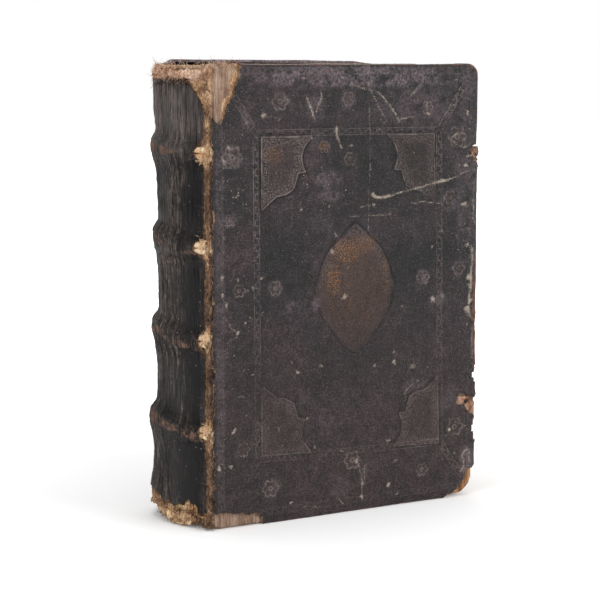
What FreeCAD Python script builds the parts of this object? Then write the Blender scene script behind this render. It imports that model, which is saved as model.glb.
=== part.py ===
import FreeCAD, Part
import os

import Sketcher
from FreeCAD import Vector

# An antique folio in full leather over wooden boards, standing on its tail edge.
# Millimetres. +X runs from the spine to the fore edge, -Y out of the front cover, +Z up.
# The origin is the middle of the footprint, on the surface that the book stands on.

# Driving dimensions
# Each row becomes one cell of the sheet, with its name as the alias.
SIZES = (
    ("board_height", 317.0),
    ("board_width", 212.0),
    ("board_thickness", 8.0),
    ("board_edge_round", 2.5),
    ("board_corner_round", 7.0),
    ("corner_break_width", 14.0),
    ("corner_break_height", 13.0),
    ("corner_break_bow", 2.0),
    ("leather", 1.5),
    ("turn_in", 0.8),
    ("turn_in_width", 18.0),
    ("pastedown", 0.3),
    ("joint_gap", 0.3),
    ("page_gap", 0.3),
    ("glue_line", 0.05),
    ("text_thickness", 61.0),
    ("text_square", 4.0),
    ("fore_square", 5.0),
    ("fore_hollow", 7.0),
    ("spine_round", 15.0),
    ("lining", 0.6),
    ("thong_height", 5.0),
    ("thong_half_width", 7.0),
    ("band_half_width", 9.5),
    ("first_band", 68.0),
    ("band_pitch", 64.0),
    ("worn_hole_half", 4.0),
    ("worn_hole_reach", 6.0),
    ("endband_radius", 2.2),
    ("slip_width", 10.0),
    ("slip_depth", 2.0),
    ("slip_length", 24.0),
    ("peg_radius", 3.0),
    ("strap_width", 17.0),
    ("strap_length", 16.0),
    ("strap_thickness", 2.0),
    ("strap_sink", 0.5),
    ("strap_stand", 1.2),
    ("strap_from_end", 68.0),
    ("nail_radius", 0.7),
    ("nail_head_radius", 1.5),
    ("nail_length", 6.0),
    ("nail_spacing", 8.0),
    ("nail_from_edge", 6.0),
    ("tooling_depth", 0.4),
    ("fillet_margin", 9.0),
    ("fillet_width", 1.2),
    ("panel_joint_margin", 36.0),
    ("panel_fore_margin", 31.0),
    ("panel_head_margin", 47.0),
    ("panel_tail_margin", 45.0),
    ("roll_width", 4.0),
    ("centre_half_width", 33.0),
    ("centre_half_height", 45.0),
    ("centre_lobe", 3.0),
    ("corner_piece_width", 36.0),
    ("corner_piece_height", 46.0),
    ("corner_piece_lobe", 4.0),
    ("rosette_radius", 4.2),
)
BANDS = 4

# Torn and worn places, as offsets in millimetres from the head or tail corner at the joint:
# the leather is gone there and the bare board shows.
HEAD_TEAR = ((20.5, 3.0), (20.5, -5.0), (19.0, -14.0), (12.5, -26.0), (7.0, -41.0), (2.5, -37.0), (-3.0, -33.0))
TAIL_TEAR = ((-3.0, 16.0), (8.0, 15.8), (21.0, 12.0), (29.0, 10.0), (34.5, 11.5), (38.5, 6.0), (38.5, -3.0))
# The leather at the broken fore-edge corner, as offsets from that corner.
CORNER_TEAR = ((3.0, 21.0), (-3.0, 20.0), (-8.0, 13.0), (-14.0, 7.0), (-23.0, 3.0), (-23.0, -3.0), (3.0, -3.0))

# Rosette stamps in the border and the panel, as (from the joint, from the tail) in millimetres.
ROSETTES = (
    (53.0, 293.0), (110.0, 293.0), (167.0, 290.0), (46.0, 25.0), (107.0, 24.0), (168.0, 24.0),
    (19.0, 259.0), (17.0, 160.0), (21.0, 59.0), (194.0, 259.0), (195.0, 172.0), (196.0, 60.0),
    (48.0, 166.5), (168.0, 166.5), (109.0, 253.0), (109.0, 72.0),
)

doc = FreeCAD.newDocument("AntiqueBook")
sheet = doc.addObject("Spreadsheet::Sheet", "Sizes")
for row, (alias, value) in enumerate(SIZES, start=1):
    sheet.set(f"A{row}", alias)
    sheet.set(f"B{row}", str(value))
    sheet.setAlias(f"B{row}", alias)
doc.recompute()


def cell(alias):
    """The expression that reads one cell of the sheet."""
    return f"Sizes.{alias}"


gauge = doc.addObject("App::VarSet", "Gauge")
gauge.addProperty("App::PropertyFloat", "reading")


def number(expression):
    """What an expression comes to now, for a sketch's first drawing."""
    gauge.setExpression("reading", str(expression))
    gauge.recompute()
    return float(gauge.reading)


# Places worked out from the driving dimensions, each written once as an expression
HALF_TEXT = f"{cell('text_thickness')} / 2"
PAGE_SIDE = f"({HALF_TEXT} + {cell('page_gap')})"
BOARD_IN = f"({PAGE_SIDE} + {cell('turn_in')})"
BOARD_OUT = f"({BOARD_IN} + {cell('board_thickness')})"
COVER_FACE = f"({BOARD_OUT} + {cell('leather')})"
COVER_HEIGHT = f"({cell('board_height')} + 2 * {cell('leather')})"

BAND_REACH = f"({cell('spine_round')} + {cell('glue_line')} + {cell('thong_height')} + {cell('leather')})"
COVER_REACH = f"({cell('joint_gap')} + {cell('board_width')} + {cell('leather')})"
JOINT_X = f"(({BAND_REACH} - {COVER_REACH} - {cell('strap_stand')}) / 2)"
COVER_START = f"({JOINT_X} + {cell('joint_gap')})"
BOARD_FORE = f"({COVER_START} + {cell('board_width')})"
COVER_FORE = f"({BOARD_FORE} + {cell('leather')})"
BOARD_TAIL = cell("leather")
BOARD_HEAD = f"({BOARD_TAIL} + {cell('board_height')})"
TEXT_TAIL = f"({BOARD_TAIL} + {cell('text_square')})"
TEXT_HEAD = f"({BOARD_HEAD} - {cell('text_square')})"
TEXT_FORE = f"({BOARD_FORE} - {cell('fore_square')})"

SPINE_RADIUS = f"(({HALF_TEXT}) ^ 2 / (2 * {cell('spine_round')}) + {cell('spine_round')} / 2)"
SPINE_CENTRE = f"({JOINT_X} - {cell('spine_round')} + {SPINE_RADIUS})"
SPINE_HALF_ANGLE = f"acos(1 - {cell('spine_round')} / {SPINE_RADIUS})"
SEAT = f"({SPINE_RADIUS} + {cell('glue_line')})"
LINING_OUT = f"({SEAT} + {cell('lining')})"
SKIN_IN = f"({LINING_OUT} + {cell('glue_line')})"
SKIN_OUT = f"({SKIN_IN} + {cell('leather')})"
THONG_OUT = f"({SEAT} + {cell('thong_height')})"
BAND_OUT = f"({THONG_OUT} + {cell('leather')})"

FRONT = -1
BACK = 1


def band_height(index):
    """The height of one raised band's middle above the surface."""
    return f"({cell('first_band')} + {index} * {cell('band_pitch')})"


# Ways of building


def bind(item, **sizes):
    """Binds properties of an object to expressions; a double underscore stands for a dot."""
    for name, expression in sizes.items():
        item.setExpression(name.replace("__", "."), str(expression))
    return item


def make(kind, name, **sizes):
    """One object of the document, its sizes bound to expressions."""
    return bind(doc.addObject(kind, name), **sizes)


def new_body(name):
    body = doc.addObject("PartDesign::Body", name)
    body.Label = name
    return body


def new_sketch(body, name, plane, **offset):
    """A sketch on one of the body's own origin planes, moved by expressions."""
    sketch = body.newObject("Sketcher::SketchObject", name)
    support = next(f for f in body.Origin.OriginFeatures if f.Role == plane)
    sketch.AttachmentSupport = [(support, "")]
    sketch.MapMode = "FlatFace"
    for axis, expression in offset.items():
        sketch.setExpression(f"AttachmentOffset.Base.{axis}", str(expression))
    return sketch


def hold_point(sketch, geometry, position, point):
    """Ties one point of a sketch to a pair of expressions."""
    for kind, expression in zip(("DistanceX", "DistanceY"), point):
        constraint = Sketcher.Constraint(kind, -1, 1, geometry, position, number(expression))
        index = sketch.addConstraint(constraint)
        sketch.setExpression(f"Constraints[{index}]", str(expression))


def bow_radius(start, end, bow):
    """The radius of an arc over a chord, from its height over the chord's middle."""
    chord = f"((({end[0]}) - ({start[0]})) ^ 2 + (({end[1]}) - ({start[1]})) ^ 2)"
    return f"abs({chord} / (8 * ({bow})) + ({bow}) / 2)"


def draw_outline(sketch, corners):
    """A closed outline. Each corner is (x, y) or (x, y, bow); a bow makes the next side an arc
    that stands out to the right of the way the outline runs."""
    first = sketch.GeometryCount
    count = len(corners)
    for index, corner in enumerate(corners):
        following = corners[(index + 1) % count]
        start = Vector(number(corner[0]), number(corner[1]), 0)
        end = Vector(number(following[0]), number(following[1]), 0)
        if len(corner) == 3:
            along = (end - start).normalize()
            middle = (start + end) / 2 + Vector(along.y, -along.x, 0) * number(corner[2])
            sketch.addGeometry(Part.Arc(start, middle, end))
        else:
            sketch.addGeometry(Part.LineSegment(start, end))
    for index, corner in enumerate(corners):
        this = first + index
        following = corners[(index + 1) % count]
        arc = len(corner) == 3
        # an arc is stored anticlockwise, so one that bows to the left starts at its far end
        turned = arc and number(corner[2]) < 0
        start_point = 2 if turned else 1
        hold_point(sketch, this, start_point, corner)
        hold_point(sketch, this, 3 - start_point, following)
        if arc:
            radius = bow_radius(corner, following, corner[2])
            held = sketch.addConstraint(Sketcher.Constraint("Radius", this, number(radius)))
            sketch.setExpression(f"Constraints[{held}]", radius)


def draw_circle(sketch, centre, radius):
    at = Vector(number(centre[0]), number(centre[1]), 0)
    this = sketch.addGeometry(Part.Circle(at, Vector(0, 0, 1), number(radius)))
    hold_point(sketch, this, 3, centre)
    held = sketch.addConstraint(Sketcher.Constraint("Radius", this, number(radius)))
    sketch.setExpression(f"Constraints[{held}]", str(radius))


def rectangle(left, bottom, right, top):
    return ((left, bottom), (right, bottom), (right, top), (left, top))


def pad_plan(body, name, corners, bottom, top):
    """A plan outline, seen from above, padded from one height to another."""
    sketch = new_sketch(body, name + "_plan", "XY_Plane", z=bottom)
    draw_outline(sketch, corners)
    pad = body.newObject("PartDesign::Pad", name)
    pad.Profile = sketch
    bind(pad, Length=f"({top}) - ({bottom})")
    return pad


def pad_face(body, name, corners, high, low):
    """An outline seen from the front, padded from y = high down to y = low."""
    sketch = new_sketch(body, name + "_face", "XZ_Plane", z=f"-({high})")
    draw_outline(sketch, corners)
    pad = body.newObject("PartDesign::Pad", name)
    pad.Profile = sketch
    bind(pad, Length=f"({high}) - ({low})")
    return pad


def layer(side, inner, outer):
    """The y limits of a flat layer on one side of the book, as (high, low)."""
    if side == FRONT:
        return f"-({inner})", f"-({outer})"
    return outer, inner


def turn(body, name, corners, half_angle, kind="PartDesign::Revolution"):
    """A section in the middle plane, turned both ways about the spine's axis.
    The section's x is minus the radius."""
    sketch = new_sketch(body, name + "_section", "XZ_Plane", x=SPINE_CENTRE)
    draw_outline(sketch, corners)
    turned = body.newObject(kind, name)
    turned.Profile = sketch
    turned.ReferenceAxis = (sketch, ["V_Axis"])
    turned.Midplane = True
    bind(turned, Angle=f"2 * {half_angle}")
    return turned


def repeat_up(body, name, features, sketch, pitch, count):
    """Repeats features up the spine."""
    pattern = body.newObject("PartDesign::LinearPattern", name)
    pattern.Originals = features
    pattern.Direction = (sketch, ["V_Axis"])
    bind(pattern, Length=f"{pitch} * {count - 1}")
    pattern.Occurrences = count
    body.Tip = pattern
    return pattern


def round_edges(body, name, radius, chosen):
    """Rounds the edges of a body's last feature whose middle point passes a test."""
    doc.recompute()
    base = body.Tip
    names = []
    for index, edge in enumerate(base.Shape.Edges, start=1):
        middle = edge.valueAt((edge.FirstParameter + edge.LastParameter) / 2)
        if chosen(middle, edge):
            names.append(f"Edge{index}")
    fillet = body.newObject("PartDesign::Fillet", name)
    fillet.Base = (base, names)
    bind(fillet, Radius=radius)
    return fillet


def join(name, shapes):
    fused = doc.addObject("Part::MultiFuse", name)
    fused.Shapes = shapes
    return fused


def cut(name, base, tool):
    piece = doc.addObject("Part::Cut", name)
    piece.Base = base
    piece.Tool = tool
    piece.Label = name
    return piece


def group(name, shapes):
    """Several separate solids in one node."""
    grouped = doc.addObject("Part::Compound", name)
    grouped.Links = shapes
    grouped.Label = name
    return grouped


# Pages


def build_text_block():
    """The sewn leaves: a round spine, flat sides and a hollow fore edge."""
    body = new_body("text_block")
    corners = (
        (JOINT_X, f"-{HALF_TEXT}"),
        (TEXT_FORE, f"-{HALF_TEXT}", f"-{cell('fore_hollow')}"),
        (TEXT_FORE, HALF_TEXT),
        (JOINT_X, HALF_TEXT, cell("spine_round")),
    )
    pad_plan(body, "leaves", corners, TEXT_TAIL, TEXT_HEAD)
    return body


def build_endband(name, tail_side):
    """The core of an endband, lying round the spine's edge on the head or tail of the leaves."""
    radius = cell("endband_radius")
    lift = f"({radius} + {cell('glue_line')})"
    height = f"({TEXT_TAIL} - {lift})" if tail_side else f"({TEXT_HEAD} + {lift})"
    body = new_body(name)
    sketch = new_sketch(body, name + "_section", "XZ_Plane", x=SPINE_CENTRE)
    draw_circle(sketch, (f"-({SPINE_RADIUS} - {radius})", height), radius)
    core = body.newObject("PartDesign::Revolution", name + "_core")
    core.Profile = sketch
    core.ReferenceAxis = (sketch, ["V_Axis"])
    core.Midplane = True
    bind(core, Angle=f"2 * {SPINE_HALF_ANGLE}")
    return body


# Spine


def build_thong(index):
    """One raised sewing support round the spine, with a frayed end at each joint."""
    height = band_height(index)
    body = new_body(f"sewing_support_{index + 1}")
    half = cell("thong_half_width")
    corners = (
        (f"-{SEAT}", f"({height} + {half})", cell("thong_height")),
        (f"-{SEAT}", f"({height} - {half})"),
    )
    turn(body, f"thong_{index + 1}", corners, SPINE_HALF_ANGLE)
    worn = cell("worn_hole_half")
    for side, word in ((FRONT, "front"), (BACK, "back")):
        ends = (f"({COVER_FACE} - {cell('leather')})", f"({PAGE_SIDE} + {cell('turn_in')})")
        near, far = sorted((f"{side} * {ends[0]}", f"{side} * {ends[1]}"), key=number)
        plan = rectangle(f"({JOINT_X} - {cell('leather')})", near, JOINT_X, far)
        pad_plan(body, f"{word}_end_{index + 1}", plan, f"({height} - {worn})", f"({height} + {worn})")
    return body


def build_lining(index):
    """A strip of parchment on the spine, between two supports or beyond the last one."""
    clear = f"({cell('thong_half_width')} + {cell('joint_gap')})"
    bottom = TEXT_TAIL if index == 0 else f"({band_height(index - 1)} + {clear})"
    top = TEXT_HEAD if index == BANDS else f"({band_height(index)} - {clear})"
    body = new_body(f"spine_lining_{index + 1}")
    turn(body, f"strip_{index + 1}", rectangle(f"-{LINING_OUT}", bottom, f"-{SEAT}", top), SPINE_HALF_ANGLE)
    return body


def joint_flange(side):
    """The plan of the leather where it climbs the board's back edge, from the spine's curve."""
    angle = f"({SPINE_HALF_ANGLE} - 3 deg)"
    inner = (f"({SPINE_CENTRE} - {SKIN_IN} * cos({angle}))", f"({side} * {SKIN_IN} * sin({angle}))")
    outer = (f"({SPINE_CENTRE} - {SKIN_OUT} * cos({angle}))", f"({side} * {SKIN_OUT} * sin({angle}))")
    face = f"({side} * {COVER_FACE})"
    board_side = (JOINT_X, f"({side} * {BOARD_IN})")
    edge = (f"({JOINT_X} - {cell('leather')})", face)
    corners = (inner, board_side, (JOINT_X, face), edge, outer)
    return corners if side == BACK else tuple(reversed(corners))


def build_spine_leather():
    """The leather over the spine, moulded over the supports, up to the edge of each board."""
    body = new_body("spine_skin")
    turn(body, "back_skin", rectangle(f"-{SKIN_OUT}", "0", f"-{SKIN_IN}", COVER_HEIGHT), SPINE_HALF_ANGLE)
    for side, word in ((FRONT, "front"), (BACK, "back")):
        pad_plan(body, f"{word}_flange", joint_flange(side), "0", COVER_HEIGHT)
    height = band_height(0)
    half = cell("band_half_width")
    bump = (
        (f"-{SKIN_IN}", f"({height} + {half})"),
        (f"-{SKIN_OUT}", f"({height} + {half})", f"({BAND_OUT} - {SKIN_OUT})"),
        (f"-{SKIN_OUT}", f"({height} - {half})"),
        (f"-{SKIN_IN}", f"({height} - {half})"),
    )
    raised = turn(body, "band", bump, SPINE_HALF_ANGLE)
    repeat_up(body, "bands", [raised], raised.Profile[0], cell("band_pitch"), BANDS)
    thong = cell("thong_half_width")
    bed = (
        (f"-{SEAT}", f"({height} + {thong})", cell("thong_height")),
        (f"-{SEAT}", f"({height} - {thong})"),
    )
    groove = turn(body, "thong_bed", bed, SPINE_HALF_ANGLE, kind="PartDesign::Groove")
    repeat_up(body, "thong_beds", [groove], groove.Profile[0], cell("band_pitch"), BANDS)
    return body


def build_worn_holes():
    """Cutters for the holes at the joints where the leather has worn through over each support."""
    cutters = []
    worn = cell("worn_hole_half")
    for index in range(BANDS):
        for side, word in ((FRONT, "front"), (BACK, "back")):
            start = BOARD_IN if side == BACK else f"-{COVER_FACE} - 1"
            box = make(
                "Part::Box",
                f"{word}_worn_hole_{index + 1}",
                Length=f"{cell('worn_hole_reach')} + {cell('joint_gap')}",
                Width=f"{COVER_FACE} - {BOARD_IN} + 1",
                Height=f"2 * {worn}",
                Placement__Base__x=f"{JOINT_X} - {cell('worn_hole_reach')}",
                Placement__Base__y=start,
                Placement__Base__z=f"{band_height(index)} - {worn}",
            )
            cutters.append(box)
    return cutters


# Covers


def board_outline(broken):
    """A board's face, its head fore-edge corner rounded and, on the front, its tail one broken."""
    corner = cell("board_corner_round")
    bow = f"({corner} * (1 - sqrt(2) / 2))"
    head = (
        (BOARD_FORE, f"({BOARD_HEAD} - {corner})", bow),
        (f"({BOARD_FORE} - {corner})", BOARD_HEAD),
        (COVER_START, BOARD_HEAD),
        (COVER_START, BOARD_TAIL),
    )
    if broken:
        tail = (
            (f"({BOARD_FORE} - {cell('corner_break_width')})", BOARD_TAIL, cell("corner_break_bow")),
            (BOARD_FORE, f"({BOARD_TAIL} + {cell('corner_break_height')})"),
        )
    else:
        tail = (
            (f"({BOARD_FORE} - {corner})", BOARD_TAIL, bow),
            (BOARD_FORE, f"({BOARD_TAIL} + {corner})"),
        )
    return head + tail


def leather_outline():
    """The outside of the leather over a board's face."""
    corner = f"({cell('board_corner_round')} + {cell('leather')})"
    bow = f"({corner} * (1 - sqrt(2) / 2))"
    return (
        (COVER_FORE, f"({COVER_HEIGHT} - {corner})", bow),
        (f"({COVER_FORE} - {corner})", COVER_HEIGHT),
        (COVER_START, COVER_HEIGHT),
        (COVER_START, "0"),
        (f"({COVER_FORE} - {corner})", "0", bow),
        (COVER_FORE, corner),
    )


def round_outer_edges(body, name, side, face, radius):
    """Rounds a cover's outer face along the head, the fore edge and the tail, not at the joint."""
    outside = side * number(face)
    joint = number(COVER_START)

    def chosen(middle, edge):
        return abs(middle.y - outside) < 0.01 and middle.x > joint + 0.5

    return round_edges(body, name, radius, chosen)


HOLE_X = f"({COVER_START} + {cell('slip_length')})"


def drill(body, name, side, face, centres, radius, depth):
    """Round holes from a cover's outer side inwards."""
    sketch = new_sketch(body, name + "_face", "XZ_Plane", z=f"-({side} * ({face}))")
    for centre in centres:
        draw_circle(sketch, centre, radius)
    return sink(body, name, side, sketch, depth)


def sink(body, name, side, sketch, depth):
    """A pocket from the outer side of a cover inwards."""
    pocket = body.newObject("PartDesign::Pocket", name)
    pocket.Profile = sketch
    pocket.Reversed = side == BACK
    bind(pocket, Length=depth)
    return pocket


def strap_heights():
    """The middle heights of the lower and the upper strap."""
    low = cell("strap_from_end")
    return low, f"({COVER_HEIGHT} - {low})"


STRAP_OUT = f"({COVER_FACE} - {cell('strap_sink')})"
STRAP_IN = f"({STRAP_OUT} - {cell('strap_thickness')})"
NAIL_X = f"({COVER_FORE} - {cell('nail_from_edge')})"


def strap_outline(middle, margin):
    """A strap's place on the fore edge, widened by a margin."""
    half = f"({cell('strap_width')} / 2 + {margin})"
    left = f"({COVER_FORE} - {cell('strap_length')} - {margin})"
    right = f"({COVER_FORE} + {cell('strap_stand')} + 2 * {margin})"
    return rectangle(left, f"({middle} - {half})", right, f"({middle} + {half})")


def nail_places():
    half = f"{cell('nail_spacing')} / 2"
    return [(NAIL_X, f"({middle} {sign} {half})") for middle in strap_heights() for sign in "-+"]


def cut_strap_beds(body, name, side, bottom):
    """Recesses in a board or its leather that take the straps, down to a layer."""
    sketch = new_sketch(body, name + "_face", "XZ_Plane", z=f"-({side} * ({COVER_FACE} + 1))")
    for middle in strap_heights():
        draw_outline(sketch, strap_outline(middle, cell("glue_line")))
    return sink(body, name, side, sketch, f"({COVER_FACE} + 1 - ({bottom}))")


def build_board(side, word):
    """A wooden board with its sewing grooves and holes."""
    body = new_body(f"{word}_board")
    high, low = layer(side, BOARD_IN, BOARD_OUT)
    pad_face(body, f"{word}_plank", board_outline(broken=side == FRONT), high, low)
    round_outer_edges(body, f"{word}_plank_edges", side, BOARD_OUT, cell("board_edge_round"))
    face = f"-({side} * ({BOARD_OUT} + 1))"
    sketch = new_sketch(body, f"{word}_grooves_face", "XZ_Plane", z=face)
    half = f"({cell('slip_width')} / 2 + {cell('glue_line')})"
    for index in range(BANDS):
        height = band_height(index)
        channel = rectangle(f"({COVER_START} - 1)", f"({height} - {half})", HOLE_X, f"({height} + {half})")
        draw_outline(sketch, channel)
    sink(body, f"{word}_grooves", side, sketch, f"1 + {cell('slip_depth')} + {cell('glue_line')}")
    centres = [(HOLE_X, band_height(index)) for index in range(BANDS)]
    hole = f"({cell('peg_radius')} + {cell('glue_line')})"
    through = f"{cell('board_thickness')} + 2"
    drill(body, f"{word}_holes", side, f"{BOARD_OUT} + 1", centres, hole, through)
    if side == FRONT:
        cut_strap_beds(body, "board_strap_beds", side, f"{STRAP_IN} - {cell('glue_line')}")
        nail = f"({cell('nail_radius')} + {cell('glue_line')})"
        depth = f"{cell('strap_sink')} + {cell('nail_length')} + {cell('glue_line')}"
        drill(body, "board_nail_holes", side, COVER_FACE, nail_places(), nail, depth)
    return body


def build_slip(side, word, index):
    """A sewing slip laced into a board: along its groove, then down its hole."""
    height = band_height(index)
    half = f"{cell('slip_width')} / 2"
    radius = cell("peg_radius")
    body = new_body(f"{word}_slip_{index + 1}")
    high, low = layer(side, f"{BOARD_OUT} - {cell('slip_depth')}", BOARD_OUT)
    lace = rectangle(COVER_START, f"({height} - {half})", HOLE_X, f"({height} + {half})")
    pad_face(body, f"{word}_lace_{index + 1}", lace, high, low)
    high, low = layer(side, BOARD_IN, f"{BOARD_OUT} - {cell('slip_depth')}")
    bow = f"({radius} - {cell('glue_line')})"
    leg = ((HOLE_X, f"({height} + {radius})", bow), (HOLE_X, f"({height} - {radius})"))
    pad_face(body, f"{word}_leg_{index + 1}", leg, high, low)
    return body


def build_peg(side, word, index):
    """The half-round peg that wedges a slip in its hole."""
    height = band_height(index)
    radius = cell("peg_radius")
    start = f"({HOLE_X} + {cell('glue_line')})"
    body = new_body(f"{word}_peg_{index + 1}")
    high, low = layer(side, BOARD_IN, BOARD_OUT)
    bow = f"-({radius} - 2 * {cell('glue_line')})"
    outline = ((start, f"({height} + {radius})", bow), (start, f"({height} - {radius})"))
    pad_face(body, f"{word}_wedge_{index + 1}", outline, high, low)
    return body


def draw_frame(sketch, left, bottom, right, top, width):
    """A rectangular line of the tooling."""
    draw_outline(sketch, rectangle(left, bottom, right, top))
    inner = [f"({left} + {width})", f"({bottom} + {width})", f"({right} - {width})", f"({top} - {width})"]
    draw_outline(sketch, rectangle(*inner))


def tool_cover(body, side, word):
    """Blind tooling pressed into the outside of a cover."""
    sketch = new_sketch(body, f"{word}_tooling_face", "XZ_Plane", z=f"-({side} * {COVER_FACE})")
    margin = cell("fillet_margin")
    right = f"({COVER_FORE} - {margin})"
    draw_frame(
        sketch, f"({JOINT_X} + {margin})", margin, right, f"({COVER_HEIGHT} - {margin})", cell("fillet_width")
    )
    left = f"({JOINT_X} + {cell('panel_joint_margin')})"
    bottom = cell("panel_tail_margin")
    right = f"({COVER_FORE} - {cell('panel_fore_margin')})"
    top = f"({COVER_HEIGHT} - {cell('panel_head_margin')})"
    roll = cell("roll_width")
    draw_frame(sketch, left, bottom, right, top, roll)
    draw_centre(sketch, f"(({left} + {right}) / 2)", f"(({bottom} + {top}) / 2)")
    inset = f"({roll} + 1)"
    for across, x in ((1, left), (-1, right)):
        for up, z in ((1, bottom), (-1, top)):
            draw_corner_piece(sketch, f"({x} + {across} * {inset})", f"({z} + {up} * {inset})", across, up)
    for along, height in ROSETTES:
        draw_circle(sketch, (f"({JOINT_X} + {along})", str(height)), cell("rosette_radius"))
    return sink(body, f"{word}_tooling", side, sketch, cell("tooling_depth"))


def draw_centre(sketch, x, z):
    """The lobed lozenge in the middle of the panel."""
    wide = cell("centre_half_width")
    high = cell("centre_half_height")
    lobe = cell("centre_lobe")
    points = [(wide, "0"), (f"{wide} * 0.56", f"{high} * 0.48"), ("0", high)]
    points += [(f"-{wide} * 0.56", f"{high} * 0.48"), (f"-{wide}", "0"), (f"-{wide} * 0.56", f"-{high} * 0.48")]
    points += [("0", f"-{high}"), (f"{wide} * 0.56", f"-{high} * 0.48")]
    draw_outline(sketch, [(f"({x} + {px})", f"({z} + {pz})", lobe) for px, pz in points])


def draw_corner_piece(sketch, x, z, across, up):
    """A corner ornament of the panel: two straight sides and three lobes between them."""
    wide = f"{across} * {cell('corner_piece_width')}"
    high = f"{up} * {cell('corner_piece_height')}"
    lobe = cell("corner_piece_lobe")
    turn_way = across * up
    points = [
        (x, z),
        (f"({x} + {wide})", z, lobe),
        (f"({x} + {wide} * 0.55)", f"({z} + {high} * 0.4)", lobe),
        (f"({x} + {wide} * 0.3)", f"({z} + {high} * 0.65)", lobe),
        (x, f"({z} + {high})"),
    ]
    if turn_way < 0:
        bows = [point[2] if len(point) == 3 else None for point in points]
        places = [point[:2] for point in points][::-1]
        turned = bows[::-1][1:] + bows[::-1][:1]
        points = [place if bow is None else (*place, bow) for place, bow in zip(places, turned)]
    draw_outline(sketch, points)


def tear_pads(body_names):
    """Cutters for the places on the front where the leather is torn or worn away.
    At the broken corner the turn-in is gone as well."""
    corners = (
        (HEAD_TEAR, COVER_START, COVER_HEIGHT, BOARD_IN),
        (TAIL_TEAR, COVER_START, "0", BOARD_IN),
        (CORNER_TEAR, COVER_FORE, "0", f"({PAGE_SIDE} - 1)"),
    )
    cutters = []
    for name, (offsets, x, z, depth) in zip(body_names, corners):
        body = new_body(name)
        high, low = layer(FRONT, depth, f"{COVER_FACE} + 1")
        outline = [(f"({x} + {across})", f"({z} + {up})") for across, up in offsets]
        pad_face(body, name + "_pad", outline, high, low)
        cutters.append(body)
    return cutters


def build_leather(side, word):
    """The leather of a cover: face, three edges and turn-ins, less what has torn off."""
    skin = new_body(f"{word}_skin")
    high, low = layer(side, PAGE_SIDE, COVER_FACE)
    pad_face(skin, f"{word}_hide", leather_outline(), high, low)
    edge = f"({cell('board_edge_round')} + {cell('leather')})"
    round_outer_edges(skin, f"{word}_hide_edges", side, COVER_FACE, edge)
    tool_cover(skin, side, word)
    if side == FRONT:
        cut_strap_beds(skin, "leather_strap_beds", side, f"{STRAP_IN} - {cell('glue_line')}")

    blank = new_body(f"{word}_blank")
    high, low = layer(side, BOARD_IN, BOARD_OUT)
    pad_face(blank, f"{word}_blank_plank", board_outline(broken=False), high, low)
    round_outer_edges(blank, f"{word}_blank_edges", side, BOARD_OUT, cell("board_edge_round"))

    window = make(
        "Part::Box",
        f"{word}_window",
        Length=f"{cell('board_width')} - {cell('turn_in_width')} + 1",
        Width=f"{cell('turn_in')} + 1",
        Height=f"{cell('board_height')} - 2 * {cell('turn_in_width')}",
        Placement__Base__x=f"{COVER_START} - 1",
        Placement__Base__y=f"{PAGE_SIDE} - 1" if side == BACK else f"-{BOARD_IN}",
        Placement__Base__z=f"{BOARD_TAIL} + {cell('turn_in_width')}",
    )
    cutters = [blank, window]
    if side == FRONT:
        cutters += tear_pads(["head_tear", "tail_tear", "corner_tear"])
    return cut(f"{word}_leather", skin, join(f"{word}_hollow", cutters))


def build_pastedown(side, word):
    """The sheet pasted on the inside of a board, between the turn-ins."""
    body = new_body(f"{word}_pastedown")
    high, low = layer(side, f"{BOARD_IN} - {cell('pastedown')}", BOARD_IN)
    gap = cell("joint_gap")
    outline = rectangle(
        COVER_START,
        f"({BOARD_TAIL} + {cell('turn_in_width')} + {gap})",
        f"({BOARD_FORE} - {cell('turn_in_width')} - {gap})",
        f"({BOARD_HEAD} - {cell('turn_in_width')} - {gap})",
    )
    pad_face(body, f"{word}_sheet", outline, high, low)
    return body


def build_strap(name, middle):
    """The stub of a clasp strap, torn off just past the fore edge."""
    body = new_body(name)
    high, low = layer(FRONT, STRAP_IN, STRAP_OUT)
    pad_face(body, name + "_tongue", strap_outline(middle, "0"), high, low)
    own = [place for place in nail_places() if middle in place[1]]
    hole = f"({cell('nail_radius')} + {cell('glue_line')})"
    drill(body, name + "_holes", FRONT, f"{COVER_FACE}", own, hole, "5")
    return body


def build_nail(index, place):
    """A small nail through a strap into the board, its head level with the leather."""
    name = f"nail_{index + 1}"
    body = new_body(name)
    sketch = new_sketch(body, name + "_head_face", "XZ_Plane", z=STRAP_OUT)
    draw_circle(sketch, place, cell("nail_head_radius"))
    head = body.newObject("PartDesign::Pad", name + "_head")
    head.Profile = sketch
    bind(head, Length=cell("strap_sink"))
    sketch = new_sketch(body, name + "_shank_face", "XZ_Plane", z=f"{STRAP_OUT} - {cell('nail_length')}")
    draw_circle(sketch, place, cell("nail_radius"))
    shank = body.newObject("PartDesign::Pad", name + "_shank")
    shank.Profile = sketch
    bind(shank, Length=cell("nail_length"))
    return body


# Putting the book together
text_block = build_text_block()
thongs = [build_thong(index) for index in range(BANDS)]
linings = [build_lining(index) for index in range(BANDS + 1)]
endbands = [build_endband("head_endband", False), build_endband("tail_endband", True)]
spine_leather = cut("spine_leather", build_spine_leather(), join("worn_holes", build_worn_holes()))
nodes = [text_block, *thongs, *linings, *endbands, spine_leather]
for side, word in ((FRONT, "front"), (BACK, "back")):
    nodes += [build_board(side, word), build_leather(side, word), build_pastedown(side, word)]
    nodes += [build_slip(side, word, index) for index in range(BANDS)]
    nodes.append(group(f"{word}_pegs", [build_peg(side, word, index) for index in range(BANDS)]))
for name, middle in zip(("lower_strap_stub", "upper_strap_stub"), strap_heights()):
    nodes.append(build_strap(name, middle))
nodes.append(group("strap_nails", [build_nail(i, place) for i, place in enumerate(nail_places())]))

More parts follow.
